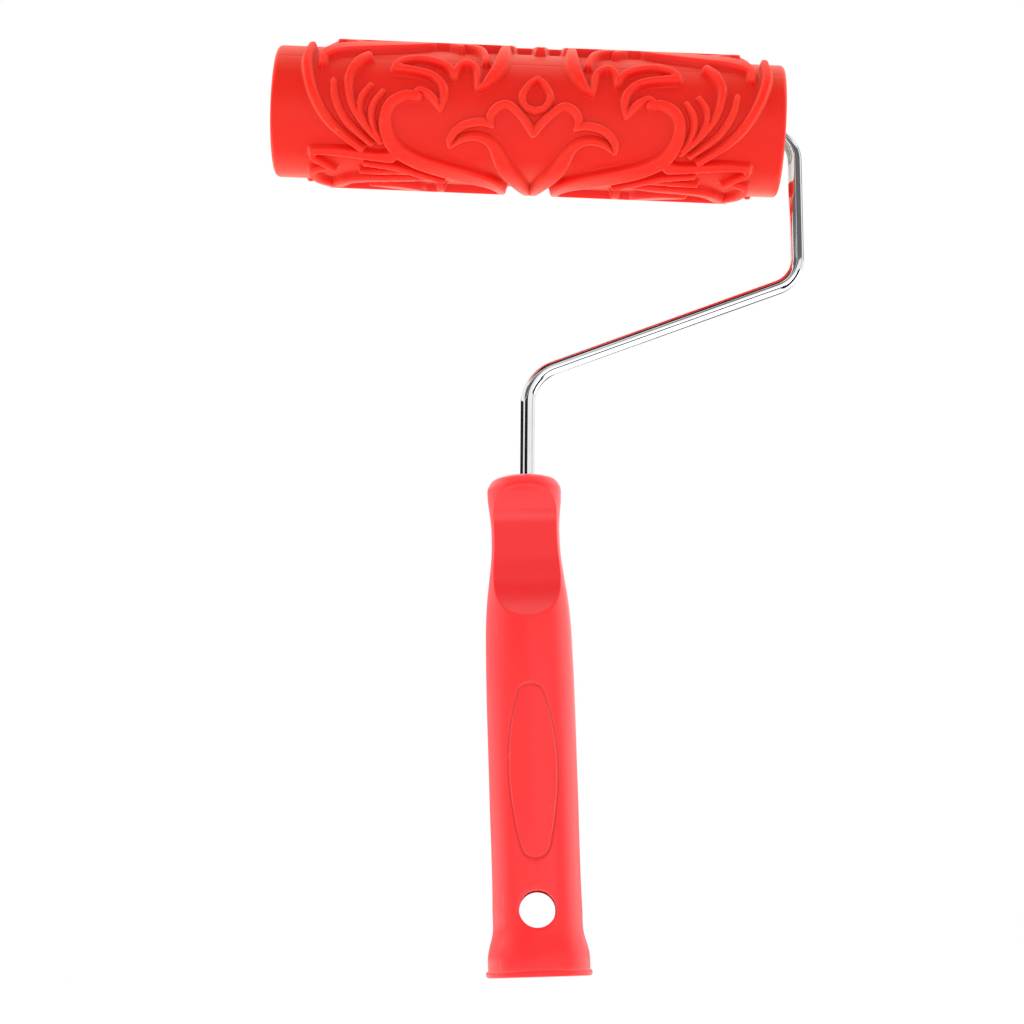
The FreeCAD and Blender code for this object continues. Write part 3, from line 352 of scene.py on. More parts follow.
# ---------------------------------------------------------------- ornament
# Each rib is a run of (distance from the pattern's middle in mm, angle round the roller in
# degrees, rib width in mm). The half turn repeats twice and mirrors about its middle.
RIBS = {
    "teardrop": [(0, 36.5, 2.0), (2.9, 30.5, 2.2), (4.8, 21, 2.3), (3.5, 12.2, 2.3), (0, 8.9, 2.3)],
    "tulip": [(0, -9, 2.8), (3.4, 1.5, 2.6), (6.8, 9.4, 2.6), (9.9, 13.6, 2.7), (13, 11.2, 2.7),
              (15, 5, 2.6), (15.2, -1, 2.2), (14.3, -4.5, 1.4)],
    "crescent_outer": [(14.3, -4.5, 1.4), (16.8, -1.9, 2.4), (20, -1.8, 2.6), (24, -4.6, 2.6),
                       (27, -10.5, 2.6), (28.3, -17, 2.4), (28.4, -23, 1.6)],
    "crescent_inner": [(28, -22, 1.6), (24, -15.5, 2.4), (19.5, -13.6, 2.6), (15.7, -16.5, 3.0),
                       (13, -23, 3.6), (11.2, -32, 4.6), (8.9, -43, 5.4), (5.8, -54, 5.4),
                       (3.4, -65, 4.6), (1.8, -76, 3.8), (1.0, -90, 2.4)],
    "foot_tip": [(0.9, 90, 2.8), (0.7, 81, 2.4)],
    "scroll": [(39.6, 17, 2.6), (44, 17.8, 3.4), (48.3, 12.5, 3.6), (50.4, 4, 3.8),
               (50.6, -7, 4.2), (49.5, -15.8, 4.6), (47.2, -24.5, 5.0), (43.3, -32, 5.4),
               (37.3, -39.3, 5.8), (29, -46.2, 6.2), (21, -52.5, 6.4), (13.8, -60, 5.6),
               (10.2, -70, 4.6), (9.4, -80, 3.8), (10.2, -90, 3.6)],
    "stem": [(11.4, 90, 3.6), (11.8, 72, 4.2), (12.4, 54, 5.0), (14.4, 40, 4.4), (17, 30, 3.0),
             (19.6, 25, 1.6)],
    "arch_low": [(41.5, 19.5, 1.8), (39.3, 22.3, 2.4), (36.1, 19, 2.6), (33.8, 13.5, 2.4),
                 (31.8, 7, 1.6)],
    "hook_leaf": [(31.8, 7, 1.6), (31.1, 18.5, 2.6), (32, 27.8, 2.8), (35.1, 34.8, 2.8),
                  (39.5, 38.5, 2.8), (44.3, 40.5, 3.0), (48.5, 41.8, 3.4)],
    "upper_leaf": [(48.5, 44, 3.2), (46, 50, 3.0), (40.4, 53.7, 2.8), (34, 50, 2.8),
                   (29.8, 43.4, 2.6), (28, 33.5, 1.6)],
    "arch_high": [(28, 33.5, 1.6), (27.4, 44, 2.4), (24.4, 50.2, 2.6), (20.9, 45, 2.4),
                  (20, 36, 2.2), (19.8, 25.5, 1.6)],
    "back_hook": [(17.6, 53, 2.6), (18.3, 63, 2.8), (20.2, 73, 3.0), (23.5, 80, 3.2),
                  (28, 83, 3.0)],
    "feather_long": [(78.6, 68, 3.4), (79.4, 48, 3.6), (78, 29, 3.3), (74.9, 11, 3.2),
                     (70.6, -4, 3.0), (64.9, -16.4, 2.8), (58.4, -27.4, 2.6)],
    "feather_second": [(69.5, 28, 1.8), (68.2, 12, 2.3), (64.6, -3.5, 2.3), (59.6, -14.5, 2.2),
                       (55.1, -23, 2.0)],
    "feather_club": [(58.6, 54, 3.8), (61.6, 46.5, 4.0), (64, 35, 3.0), (64, 23, 2.5),
                     (62.4, 9, 2.4), (59.2, -2.5, 2.3), (55.7, -12.4, 2.2), (51.8, -21.2, 2.0)],
    "feather_fourth": [(56.5, 25, 1.8), (59.1, 15.5, 2.2), (59.6, 4.5, 2.2), (57.6, -5, 2.0),
                       (55.2, -12, 1.8)],
    "feather_short": [(52.2, 20, 1.8), (54.9, 10, 2.2), (55.5, 0, 2.2), (54.3, -10.6, 2.0),
                      (52.2, -18, 2.0)],
    "low_leaf": [(48, -34, 4.4), (53, -34.2, 3.6), (60, -32.5, 3.4), (67, -30.9, 3.4),
                 (75.3, -31.2, 3.0)],
    "low_hook": [(75.2, -32.2, 2.6), (75, -38, 2.6), (71, -43.8, 2.4), (67.5, -50.5, 1.6)],
    "curl_lobe": [(70.9, -48, 2.4), (75.5, -53, 3.0), (74.2, -65, 3.2), (70, -77, 3.2)],
    "under_leaf": [(57, -41.4, 2.2), (51.5, -43, 2.4), (45.8, -45.2, 2.4), (40.1, -50.2, 2.4),
                   (35, -55, 2.2), (29.5, -61, 1.4)],
    "under_branch": [(58.3, -50.7, 2.0), (52, -50.2, 2.2), (45.7, -49.2, 2.2), (41.6, -49.4, 2.0)],
    "trailing_leaf": [(66.8, -75, 4.6), (63.2, -65.5, 3.8), (58, -61.5, 3.2), (50, -59.4, 3.0),
                      (42.5, -57.8, 2.8), (36, -55.8, 2.0)],
    "horizon_leaf": [(74, 44, 2.4), (73.4, 56, 4.2), (67.6, 66, 5.6), (58, 72, 6.4), (48, 77, 6.6),
                     (40, 83, 6.0), (36.5, 90, 4.6)],
    "horizon_vein": [(26.8, 76, 2.6), (29.5, 84, 3.4), (30.5, 90, 3.6)],
    "horizon_vein_end": [(30.5, -90, 3.6), (31, -82, 3.0), (29.5, -74, 1.8)],
    "horizon_leaf_end": [(36.5, -90, 4.6), (40, -80, 5.0), (47, -73, 4.4), (55, -70, 2.4)],
    "curl_link": [(70, -77, 3.2), (67.5, -90, 3.4)],
    "curl_link_end": [(67.5, 90, 3.4), (63, 80, 3.2), (58, 73, 3.0)],
    "seam_top": [(11.5, 90, 5.0), (30, 90, 5.0), (50, 90, 5.0), (69, 90, 4.4)],
    "seam_foot": [(11.5, -90, 5.0), (30, -90, 5.0), (50, -90, 5.0), (69, -90, 4.4)],
}
# one bar more on the half turn behind, just above the front one's upper seam
BACK_RIBS = {"seam_bar": [(-1, -75, 4.4), (5, -75, 4.4), (11, -75, 4.4)]}
HALF_TURN = math.pi * BARE_RADIUS                 # mm round the roller in one pattern repeat
MM_PER_DEGREE = HALF_TURN / 180.0
SKEW = 0.9                                        # sideways lean of the pattern over a turn (mm)
MIDDLE_RIBS = ("teardrop", "tulip", "crescent_outer", "crescent_inner", "foot_tip")
MIDDLE_OFFSET = 0.6                               # the middle motif's shift towards the arm (mm)
SIDE_SOFTNESS = (0.55, 0.85)                      # how far a rib's side runs out and in (mm)
SEAM_ANGLES = (57.0, 237.0)                       # mould parting lines
SEAM_DEPTH = 0.14                                 # parting line's depth (mm)
PATTERN_REACH = 84.0                              # finely divided half length of the sleeve (mm)
SLEEVE_BORE_RADIUS = TUBE_RADIUS + 0.05           # clear of the tube's surface (mm)


def smooth_run(run, steps=10):
    """Points and widths along a rib, by a Catmull-Rom curve through its named points."""
    pts = np.array([(s, a * MM_PER_DEGREE, w) for s, a, w in run], float)
    padded = np.vstack([2 * pts[0] - pts[1], pts, 2 * pts[-1] - pts[-2]])
    out = []
    for i in range(1, len(padded) - 2):
        p0, p1, p2, p3 = padded[i - 1:i + 3]
        for t in np.arange(steps) / steps:
            out.append(0.5 * (2 * p1 + (p2 - p0) * t + (2 * p0 - 5 * p1 + 4 * p2 - p3) * t ** 2
                              + (3 * p1 - p0 - 3 * p2 + p3) * t ** 3))
    out.append(pts[-1])
    return np.array(out)


def inside_depth(along, y, ribs, shifts=(-HALF_TURN, 0.0, HALF_TURN)):
    """Greatest distance inside any rib's edge, at points of the flat pattern (mm)."""
    depth = np.full(along.shape, -9.0)
    for name, run in ribs.items():
        line = smooth_run(run)
        s = np.abs(along - (MIDDLE_OFFSET if name in MIDDLE_RIBS else 0.0))
        for shift in shifts:
            px, py, w = line[:, 0], line[:, 1] + shift, line[:, 2]
            margin = 3.0 + w.max()
            near = ((s > px.min() - margin) & (s < px.max() + margin)
                    & (y > py.min() - margin) & (y < py.max() + margin))
            if not near.any():
                continue
            qs, qy = s[near], y[near]
            best = depth[near]
            for k in range(len(px) - 1):
                dx, dy = px[k + 1] - px[k], py[k + 1] - py[k]
                t = ((qs - px[k]) * dx + (qy - py[k]) * dy) / max(dx * dx + dy * dy, 1e-9)
                t = np.clip(t, 0, 1)
                away = np.hypot(qs - px[k] - t * dx, qy - py[k] - t * dy)
                best = np.maximum(best, (w[k] + (w[k + 1] - w[k]) * t) / 2 - away)
            depth[near] = best
    return depth


def relief_share(depth):
    """0 on the bare sleeve, 1 on a rib's top, with a rounded shoulder and a filleted root."""
    out, inward = SIDE_SOFTNESS
    x = np.clip((depth + out) / (out + inward), 0, 1)
    return x * x * x * (x * (6 * x - 15) + 10)


def build_sleeve():
    """The rubber sleeve with its raised ornament, as one closed skin with the bore."""
    columns = quick_or(380)
    rows = quick_or(420)
    half_length = SLEEVE_LENGTH / 2
    angles = np.arange(columns) * 360.0 / columns + SEAM_ANGLES[0]
    wrapped = (angles + 90.0) % 180.0 - 90.0
    bare_end = half_length - END_ROUND
    plain = np.linspace(0, 1, 5)[:-1] * (bare_end - PATTERN_REACH)
    stations = np.concatenate([-bare_end + plain, np.linspace(-PATTERN_REACH, PATTERN_REACH, rows),
                               bare_end - plain[::-1]])
    across = stations[:, None] - PATTERN_SHIFT - SKEW * np.sin(np.radians(angles))[None, :]
    level = 0 * stations[:, None]
    depth = inside_depth(across, wrapped[None, :] * MM_PER_DEGREE + level, RIBS)
    behind = (angles % 360.0 - 180.0)[None, :] * MM_PER_DEGREE + level
    share = relief_share(np.maximum(depth, inside_depth(across, behind, BACK_RIBS, (0.0,))))
    seam = np.zeros(columns)
    for a in SEAM_ANGLES:
        gap = np.abs((angles - a + 180) % 360 - 180)
        seam = np.maximum(seam, (gap < 180.0 / columns).astype(float))
    radius = BARE_RADIUS + RELIEF_HEIGHT * share - SEAM_DEPTH * seam[None, :] * (1 - share)

    # the right end, from the rounded rim inwards over the end face; the left end mirrors it
    end = []
    for t in np.linspace(0, math.pi / 2, 7)[1:]:
        end.append((bare_end + END_ROUND * math.sin(t),
                    BARE_RADIUS - END_ROUND * (1 - math.cos(t))))
    for inward in (0.35, 0.7, 1.0):
        end.append((half_length,
                    (BARE_RADIUS - END_ROUND) * (1 - inward) + SLEEVE_BORE_RADIUS * inward))
    inside = np.linspace(-half_length, half_length, 9)[1:-1]
    bore = [(-along, SLEEVE_BORE_RADIUS) for along in inside]
    rings = [(-along, np.full(columns, r)) for along, r in end[::-1]]
    rings += list(zip(stations, radius))
    rings += [(along, np.full(columns, r)) for along, r in end + bore]

    lift = np.radians(angles)
    direction = (np.outer(np.cos(lift), np.array(FRONT)) + np.outer(np.sin(lift), np.array(RISE)))
    verts = np.concatenate([
        np.array(ROLLER_AT)[None, :]
        + MM * (along * np.array(AXLE)[None, :] + r[:, None] * direction)
        for along, r in rings])
    faces = ring_faces(len(rings), columns)
    last = (len(rings) - 1) * columns
    for c in range(columns):
        d = (c + 1) % columns
        faces.append((last + c, last + d, d, c))
    obj = new_object("sleeve_relief", verts, faces)
    outward(obj)
    thin = obj.modifiers.new("thin", "DECIMATE")
    thin.ratio = quick_or(0.56)
    apply_modifiers(obj)
    obj.data.shade_smooth()
    finish_piece(obj, rubber_material(), "pattern_sleeve", "roller", 60)


# ---------------------------------------------------------------- handle
# (height, width, depth) of the grip's oval sections, from the lip upwards (mm)
GRIP = [(2.1, 33.4, 29.6), (6.0, 33.4, 29.5), (9.6, 32.2, 28.4), (13.4, 30.1, 26.8),
        (22.0, 29.5, 26.0), (60.0, 29.4, 26.2), (104.0, 29.2, 26.0), (116.0, 28.6, 25.4),
        (124.5, 27.3, 24.6), (132.5, 25.2, 23.2), (140.0, 23.5, 22.2), (148.0, 23.1, 21.8),
        (154.5, 24.0, 22.2), (159.5, 25.0, 22.4), (163.4, 24.5, 21.9), (165.3, 22.1, 19.6),
        (166.5, 16.8, 14.6), (167.3, 9.0, 7.6)]
LIP = (34.9, 30.8, 2.2, 0.9)                      # foot lip: width, depth, height, rounding
# thumb dish, seen from the side: a straight ramp, a low bend, a flat floor and a tight upper bend
DISH_FOOT = (117.1, 12.65)                        # height and depth where the ramp leaves the front
DISH_FLOOR, DISH_RAMP = 4.5, math.radians(37)
DISH_LOW_BEND, DISH_HIGH_BEND = 34.0, 14.0        # bend radii
DISH_HIGH_START = 149.9                           # height where the upper bend starts
DISH_EDGE = 0.22                                  # softness of the dish's rim
CROWN_HEIGHT = 163.4                              # the grip's domed top starts here
FRONT_HALF = math.radians(72)                     # the finely divided front of the grip
HANG_RADIUS, HANG_HEIGHT, HANG_RIM = 6.0, 21.5, 1.0
SOCKET_RADIUS, SOCKET_DEPTH = 10.5, 70.0
HOLLOW_TOP_RADIUS, HOLLOW_DEPTH = 7.0, 110.0
# the pressed panel line's height and half width
PANEL = [(38.9, 3.4), (40.7, 4.4), (45.3, 5.6), (54.5, 7.15), (66.0, 8.05), (75.4, 7.7),
         (84.8, 6.2), (93.0, 3.8)]
PANEL_END_RISE = (1.2, 1.4)
PANEL_LINE, PANEL_LINE_DEPTH = 0.7, 0.35


def spline_rows(points, heights):
    """Section sizes at given heights by a Hermite curve with averaged slopes."""
    pts = np.array(points, float)
    z, v = pts[:, 0], pts[:, 1:]
    step = np.diff(v, axis=0) / np.diff(z)[:, None]
    gap = np.diff(z)
    slope = np.zeros_like(v)
    slope[1:-1] = ((step[:-1] * gap[1:, None] + step[1:] * gap[:-1, None])
                   / (gap[1:] + gap[:-1])[:, None])
    flat = step[:-1] * step[1:] <= 0
    slope[1:-1][flat] = 0
    slope[0], slope[-1] = step[0], step[-1]
    i = np.clip(np.searchsorted(z, heights, side="right") - 1, 0, len(z) - 2)
    t = ((heights - z[i]) / gap[i])[:, None]
    h = gap[i][:, None]
    return ((2 * t ** 3 - 3 * t ** 2 + 1) * v[i] + (t ** 3 - 2 * t ** 2 + t) * h * slope[i]
            + (-2 * t ** 3 + 3 * t ** 2) * v[i + 1] + (t ** 3 - t ** 2) * h * slope[i + 1])


def panel_distance(x, z):
    """Distance from the panel's outline, across the front of the grip (mm)."""
    shape = np.array(PANEL)
    rows = np.linspace(shape[0, 0], shape[-1, 0], 60)
    half = spline_rows(PANEL, rows)[:, 0]
    top_x = np.linspace(half[-1], 0, 12)[1:]
    top = np.stack([top_x, rows[-1] + PANEL_END_RISE[1] * (1 - (top_x / half[-1]) ** 2)], 1)
    low_x = np.linspace(0, half[0], 12)[:-1]
    low = np.stack([low_x, rows[0] - PANEL_END_RISE[0] * (1 - (low_x / half[0]) ** 2)], 1)
    line = np.concatenate([low, np.stack([half, rows], 1), top])
    away = np.full(x.shape, 99.0)
    ax = np.abs(x)
    for a, b in zip(line, line[1:]):
        d = b - a
        t = np.clip(((ax - a[0]) * d[0] + (z - a[1]) * d[1]) / d.dot(d), 0, 1)
        away = np.minimum(away, np.hypot(ax - a[0] - t * d[0], z - a[1] - t * d[1]))
    return away


def dish_depth(z):
    """How far in front of the grip's axis the thumb dish lies at each height (mm)."""
    foot_z, foot_y = DISH_FOOT
    drop = foot_y - DISH_FLOOR - DISH_LOW_BEND * (1 - math.cos(DISH_RAMP))
    bend_z = foot_z + drop / math.tan(DISH_RAMP)
    floor_z = bend_z + DISH_LOW_BEND * math.sin(DISH_RAMP)
    ramp = foot_y - (z - foot_z) * math.tan(DISH_RAMP)
    low = (DISH_FLOOR + DISH_LOW_BEND
           - np.sqrt(np.maximum(DISH_LOW_BEND ** 2 - (floor_z - z) ** 2, 0)))
    over = np.minimum(z - DISH_HIGH_START, DISH_HIGH_BEND)
    high = (DISH_FLOOR + DISH_HIGH_BEND
            - np.sqrt(np.maximum(DISH_HIGH_BEND ** 2 - over ** 2, 0)))
    return np.select([z < bend_z, z < floor_z, z < DISH_HIGH_START],
                     [ramp, low, DISH_FLOOR + 0 * z],
                     np.where(z > DISH_HIGH_START + DISH_HIGH_BEND, 99.0, high))


def grip_heights():
    """Heights of the body's rings: close together round the hole, the panel and the dish."""
    fine = quick_or(0.42)
    coarse = quick_or(1.0)
    spans = [(2.1, 13.0, coarse), (13.0, 30.0, fine * 1.4), (30.0, 37.4, coarse),
             (37.4, 97.2, fine), (97.2, 116.5, coarse), (116.5, CROWN_HEIGHT, fine * 1.1)]
    heights = []
    for low, high, pitch in spans:
        heights += list(np.linspace(low, high, max(2, round((high - low) / pitch)), endpoint=False))
    return np.array(heights)


def grip_rows():
    """(height, width, depth) of every ring of the grip: the lip, the body and the crown."""
    width, depth, lip_height, lip_round = LIP
    rows = []
    for t in np.linspace(0, math.pi / 2, 6):
        inset = lip_round * (1 - math.sin(t))
        rows.append((lip_round * (1 - math.cos(t)), width - 2 * inset, depth - 2 * inset))
    for t in np.linspace(0, math.radians(79), 6):
        inset = lip_round * (1 - math.cos(t))
        rows.append((lip_height - lip_round * (1 - math.sin(t)),
                     width - 2 * inset, depth - 2 * inset))
    heights = grip_heights()
    rows += [(z, w, d) for z, (w, d) in zip(heights, spline_rows(GRIP, heights))]
    crown = np.array([row for row in GRIP if row[0] >= CROWN_HEIGHT])
    climb = np.hypot(np.diff(crown[:, 0]), np.diff(crown[:, 1]) / 2)
    chord = np.concatenate([[0], np.cumsum(climb)])
    for t in np.linspace(0, chord[-1], 18):
        rows.append(tuple(spline_rows(np.column_stack([chord, crown]), np.array([t]))[0]))
    return np.array(rows)


def build_handle():
    """The moulded grip: outside skin, socket and hollow inside, and the hanging hole."""
    front_columns, side_columns = quick_or(150), quick_or(90)
    across = np.concatenate([
        np.linspace(-FRONT_HALF, FRONT_HALF, front_columns, endpoint=False),
        np.linspace(FRONT_HALF, 2 * math.pi - FRONT_HALF, side_columns, endpoint=False)])
    columns = len(across)
    table = grip_rows()
    z = np.repeat(table[:, 0][:, None], columns, 1)
    x = table[:, 1][:, None] / 2 * np.sin(across)[None, :]
    y = -table[:, 2][:, None] / 2 * np.cos(across)[None, :]
    front = y < 0

    # panel line pressed into the front
    away = panel_distance(x, z)
    groove = np.clip(1 - (away / (PANEL_LINE * 0.72)) ** 2, 0, 1)
    y = np.where(front, y + PANEL_LINE_DEPTH * groove, y)
    # softened rims of the hanging hole, front and back
    ring = np.hypot(x, z - HANG_HEIGHT)
    lean = np.clip((HANG_RADIUS + HANG_RIM - ring) / HANG_RIM, 0, 1)
    y = y * (1 - 0.045 * lean ** 2)
    # thumb dish
    floor = -dish_depth(z)
    over = floor - y
    blend = y + (over + DISH_EDGE) ** 2 / (4 * DISH_EDGE)
    dished = np.where(over > DISH_EDGE, floor, np.where(over < -DISH_EDGE, y, blend))
    in_dish = np.clip((over + 0.1) / 0.3, 0, 1) * front
    y = np.where(front, dished, y)

    verts = np.stack([x, y, z], 2).reshape(-1, 3) * MM
    faces = ring_faces(len(table), columns)
    # inside: foot ring, socket wall and the tapering hollow
    inner = [(0.0, SOCKET_RADIUS + 0.5), (0.5, SOCKET_RADIUS), (12.0, SOCKET_RADIUS),
             (21.5, SOCKET_RADIUS), (31.0, SOCKET_RADIUS), (50.0, SOCKET_RADIUS),
             (SOCKET_DEPTH, SOCKET_RADIUS), (HOLLOW_DEPTH, HOLLOW_TOP_RADIUS)]
    extra = [(r * math.sin(a) * MM, -r * math.cos(a) * MM, h * MM)
             for h, r in inner for a in across]
    base = len(verts)
    faces += [tuple(base + i for i in f[::-1]) for f in ring_faces(len(inner), columns)]
    for c in range(columns):
        d = (c + 1) % columns
        faces.append((c, base + c, base + d, d))
    last = base + (len(inner) - 1) * columns
    faces.append(tuple(range(last, last + columns)))
    top = (len(table) - 1) * columns
    faces.append(tuple(range(top, top + columns)))
    verts = np.concatenate([verts, np.array(extra)])
    dish_share = np.concatenate([in_dish.reshape(-1), np.zeros(len(extra))])
    groove_share = np.concatenate([(groove * front).reshape(-1), np.zeros(len(extra))])
    obj = new_object("moulded_grip", verts, faces)
    for name, share in (("dish", dish_share), ("groove", groove_share)):
        layer = obj.data.attributes.new(name, "FLOAT", "POINT")
        layer.data.foreach_set("value", share.astype(np.float32))
    outward(obj)

    through = (Matrix.Translation((0, 0, HANG_HEIGHT * MM))
               @ Matrix.Rotation(math.pi / 2, 4, "X"))
    drilled(obj, [lathe("hanging_drill", rod_profile(HANG_RADIUS, -30.0, 30.0), through)])
    finish_piece(obj, handle_material(), "handle", "hand_frame", 38)


# ---------------------------------------------------------------- turned pieces
def lathe(name, profile, place, sides=96):
    """Closed solid of revolution about local Z from (radius, height) points in mm."""
    ring_of, verts, faces = [], [], []
    for r, h in profile:
        if r < 1e-6:
            ring_of.append([len(verts)] * sides)
            verts.append(place @ Vector((0, 0, h * MM)))
            continue
        ring_of.append(list(range(len(verts), len(verts) + sides)))
        for k in range(sides):
            a = 2 * math.pi * k / sides
            verts.append(place @ Vector((r * math.cos(a) * MM, r * math.sin(a) * MM, h * MM)))
    count = len(profile)
    for i in range(count):
        a, b = ring_of[i], ring_of[(i + 1) % count]
        if a[0] == a[-1] and b[0] == b[-1]:
            continue
        for k in range(sides):
            m = (k + 1) % sides
            quad = []
            for v in (a[k], a[m], b[m], b[k]):
                if v not in quad:
                    quad.append(v)
            if len(quad) > 2:
                faces.append(tuple(quad))
    obj = new_object(name, verts, faces)
    outward(obj)
    return obj


def rod_profile(radius, low, high):
    """Profile of a plain cylinder."""
    return [(0.0, low), (radius, low), (radius, high), (0.0, high)]


def rounded_profile(points, radius, steps=3):
    """The closed profile with rounded corners; a corner may carry its own radius."""
    pts = [Vector(p[:2]) for p in points]
    radii = [p[2] if len(p) > 2 else radius for p in points]
    out = []
    for i, p in enumerate(pts):
        before, after = pts[i - 1] - p, pts[(i + 1) % len(pts)] - p
        cut = min(radii[i], before.length * 0.45, after.length * 0.45)
        if cut <= 1e-6:
            out.append(tuple(p))
            continue
        a, b = p + before.normalized() * cut, p + after.normalized() * cut
        for k in range(steps + 1):
            t = k / steps
            q = a * (1 - t) ** 2 + p * 2 * t * (1 - t) + b * t ** 2
            out.append((q.x, q.y))
    return out


def axle_place(along=0.0, flip=False):
    """Local Z along the axle (or against it), the origin this far from the roller's middle."""
    z = -AXLE if flip else AXLE
    turn = Matrix((FRONT, z.cross(FRONT), z)).transposed().to_4x4()
    return Matrix.Translation(ROLLER_AT + AXLE * along * MM) @ turn


CAP_DEPTH, CAP_WEB, CAP_LENGTH, CAP_WALL = 11.5, 2.4, 24.0, 2.2
WELL_RADIUS, HUB_RADIUS, BEARING_RADIUS = 11.0, 5.2, 2.56
TUBE_BORE, TUBE_INSET = 15.6, 1.8                 # bore radius, thickness of the plug's rim
VENT_RADIUS, VENT_CIRCLE, VENTS = 1.6, 7.9, 6
VENT_FROM, VENT_TO = 8.0, 18.0                    # the vent drill's reach behind the end face
WASHER = (2.56, 6.0, 0.8)                         # bore radius, outer radius, thickness
NUT = (2.5, 5.8, 0.7, 3.6, 4.6)                   # bore, flange radius, flange, dome radius, length
WASHER_SEAT, NUT_SEAT = 77.55, 78.5               # distances from the roller's middle


def build_caps_and_tube():
    plastic = pale_plastic_material("core_plastic", colour(236, 233, 226),
                                    colour(221, 217, 208), 0.42)
    cap_plastic = pale_plastic_material("cap_plastic", colour(230, 227, 219),
                                        colour(214, 210, 202), 0.38)
    half = SLEEVE_LENGTH / 2
    web = CAP_DEPTH + CAP_WEB
    profile = rounded_profile([
        (BEARING_RADIUS, CAP_DEPTH, 0.3), (WELL_RADIUS, CAP_DEPTH, 0.8), (WELL_RADIUS, 0.0, 0.7),
        (TUBE_RADIUS, 0.0, 0.5), (TUBE_RADIUS, TUBE_INSET, 0.0), (TUBE_BORE, TUBE_INSET, 0.0),
        (TUBE_BORE, CAP_LENGTH, 0.3), (TUBE_BORE - CAP_WALL, CAP_LENGTH, 0.3),
        (TUBE_BORE - CAP_WALL, web, 0.3), (HUB_RADIUS, web, 0.3), (HUB_RADIUS, CAP_LENGTH, 0.3),
        (BEARING_RADIUS, CAP_LENGTH, 0.2)], 0.3)
    for name, node, along, flip in (("arm_plug", "end_cap_arm", half, True),
                                    ("free_plug", "end_cap_free", -half, False)):
        place = axle_place(along, flip)
        cap = lathe(name, profile, place, quick_or(128))
        drills = []
        for k in range(VENTS):
            spin = Matrix.Rotation(2 * math.pi * k / VENTS, 4, "Z")
            at = place @ spin @ Matrix.Translation((VENT_CIRCLE * MM, 0, 0))
            drills.append(lathe("vent_drill", rod_profile(VENT_RADIUS, VENT_FROM, VENT_TO), at, 32))
        drilled(cap, drills)
        finish_piece(cap, cap_plastic, node, "roller")
    far = SLEEVE_LENGTH - TUBE_INSET
    tube = lathe("rigid_core", rounded_profile([
        (TUBE_BORE, TUBE_INSET), (TUBE_RADIUS, TUBE_INSET), (TUBE_RADIUS, far), (TUBE_BORE, far)],
        0.25), axle_place(-half), 128)
    finish_piece(tube, plastic, "core_tube", "roller")


def build_washers_and_nut():
    nylon = pale_plastic_material("washer_plastic", colour(240, 238, 232),
                                  colour(226, 224, 216), 0.5)
    bore, outer, thick = WASHER
    ring = rounded_profile([(bore, 0.0), (outer, 0.0), (outer, thick), (bore, thick)], 0.15)
    for name, node, along, flip, body in (
            ("arm_washer", "washer_arm", WASHER_SEAT, False, "thrust_washer_arm"),
            ("free_washer", "washer_free", -WASHER_SEAT, True, "thrust_washer_free")):
        washer = lathe(name, ring, axle_place(along, flip), 72)
        finish_piece(washer, nylon, node, body)
    grip, flange, thick, dome, length = NUT
    cup = rounded_profile([(grip, 0.0, 0.2), (flange, 0.0, 0.15), (flange, thick, 0.25),
                           (dome, thick, 0.5), (dome, length, 1.0), (grip, length, 0.3)], 0.2, 5)
    nut = lathe("axle_retainer", cup, axle_place(-NUT_SEAT, True), 72)
    finish_piece(nut, steel_material(), "push_nut", "hand_frame")


# ---------------------------------------------------------------- bent rod
WIRE_RADIUS = 2.5
TANG_START = (-0.48, 121.5)
# heading of each straight (degrees from +X towards +Z), its length, and the bend that follows
COURSE = [(87.8, 71.7, 13.5), (18.6, 83.09, 11.0), (88.0, 36.41, 11.0), (175.63, 166.14, None)]
TIP_CHAMFER, TANG_CHAMFER = 0.6, 0.4
EARS = (7.4, 3.6, 3.0)                            # width, thickness, length along the axle
EAR_SIDES, EAR_SQUARENESS = 40, 0.45


def rod_stations():
    """Points of the rod's centre line in the XZ plane with the heading at each."""
    x, z = TANG_START
    stations = []
    for i, (heading, run, bend) in enumerate(COURSE):
        a = math.radians(heading)
        for k in range(13):
            t = run * k / 12.0
            if i and k == 0:
                continue
            stations.append((x + t * math.cos(a), z + t * math.sin(a), a))
        x, z = x + run * math.cos(a), z + run * math.sin(a)
        if bend is None:
            break
        nxt = math.radians(COURSE[i + 1][0])
        turn = nxt - a
        side = 1.0 if turn > 0 else -1.0
        cx, cz = x - side * bend * math.sin(a), z + side * bend * math.cos(a)
        steps = quick_or(22)
        for k in range(1, steps + 1):
            h = a + turn * k / steps
            stations.append((cx + side * bend * math.sin(h), cz - side * bend * math.cos(h), h))
        x, z = stations[-1][:2]
    return stations


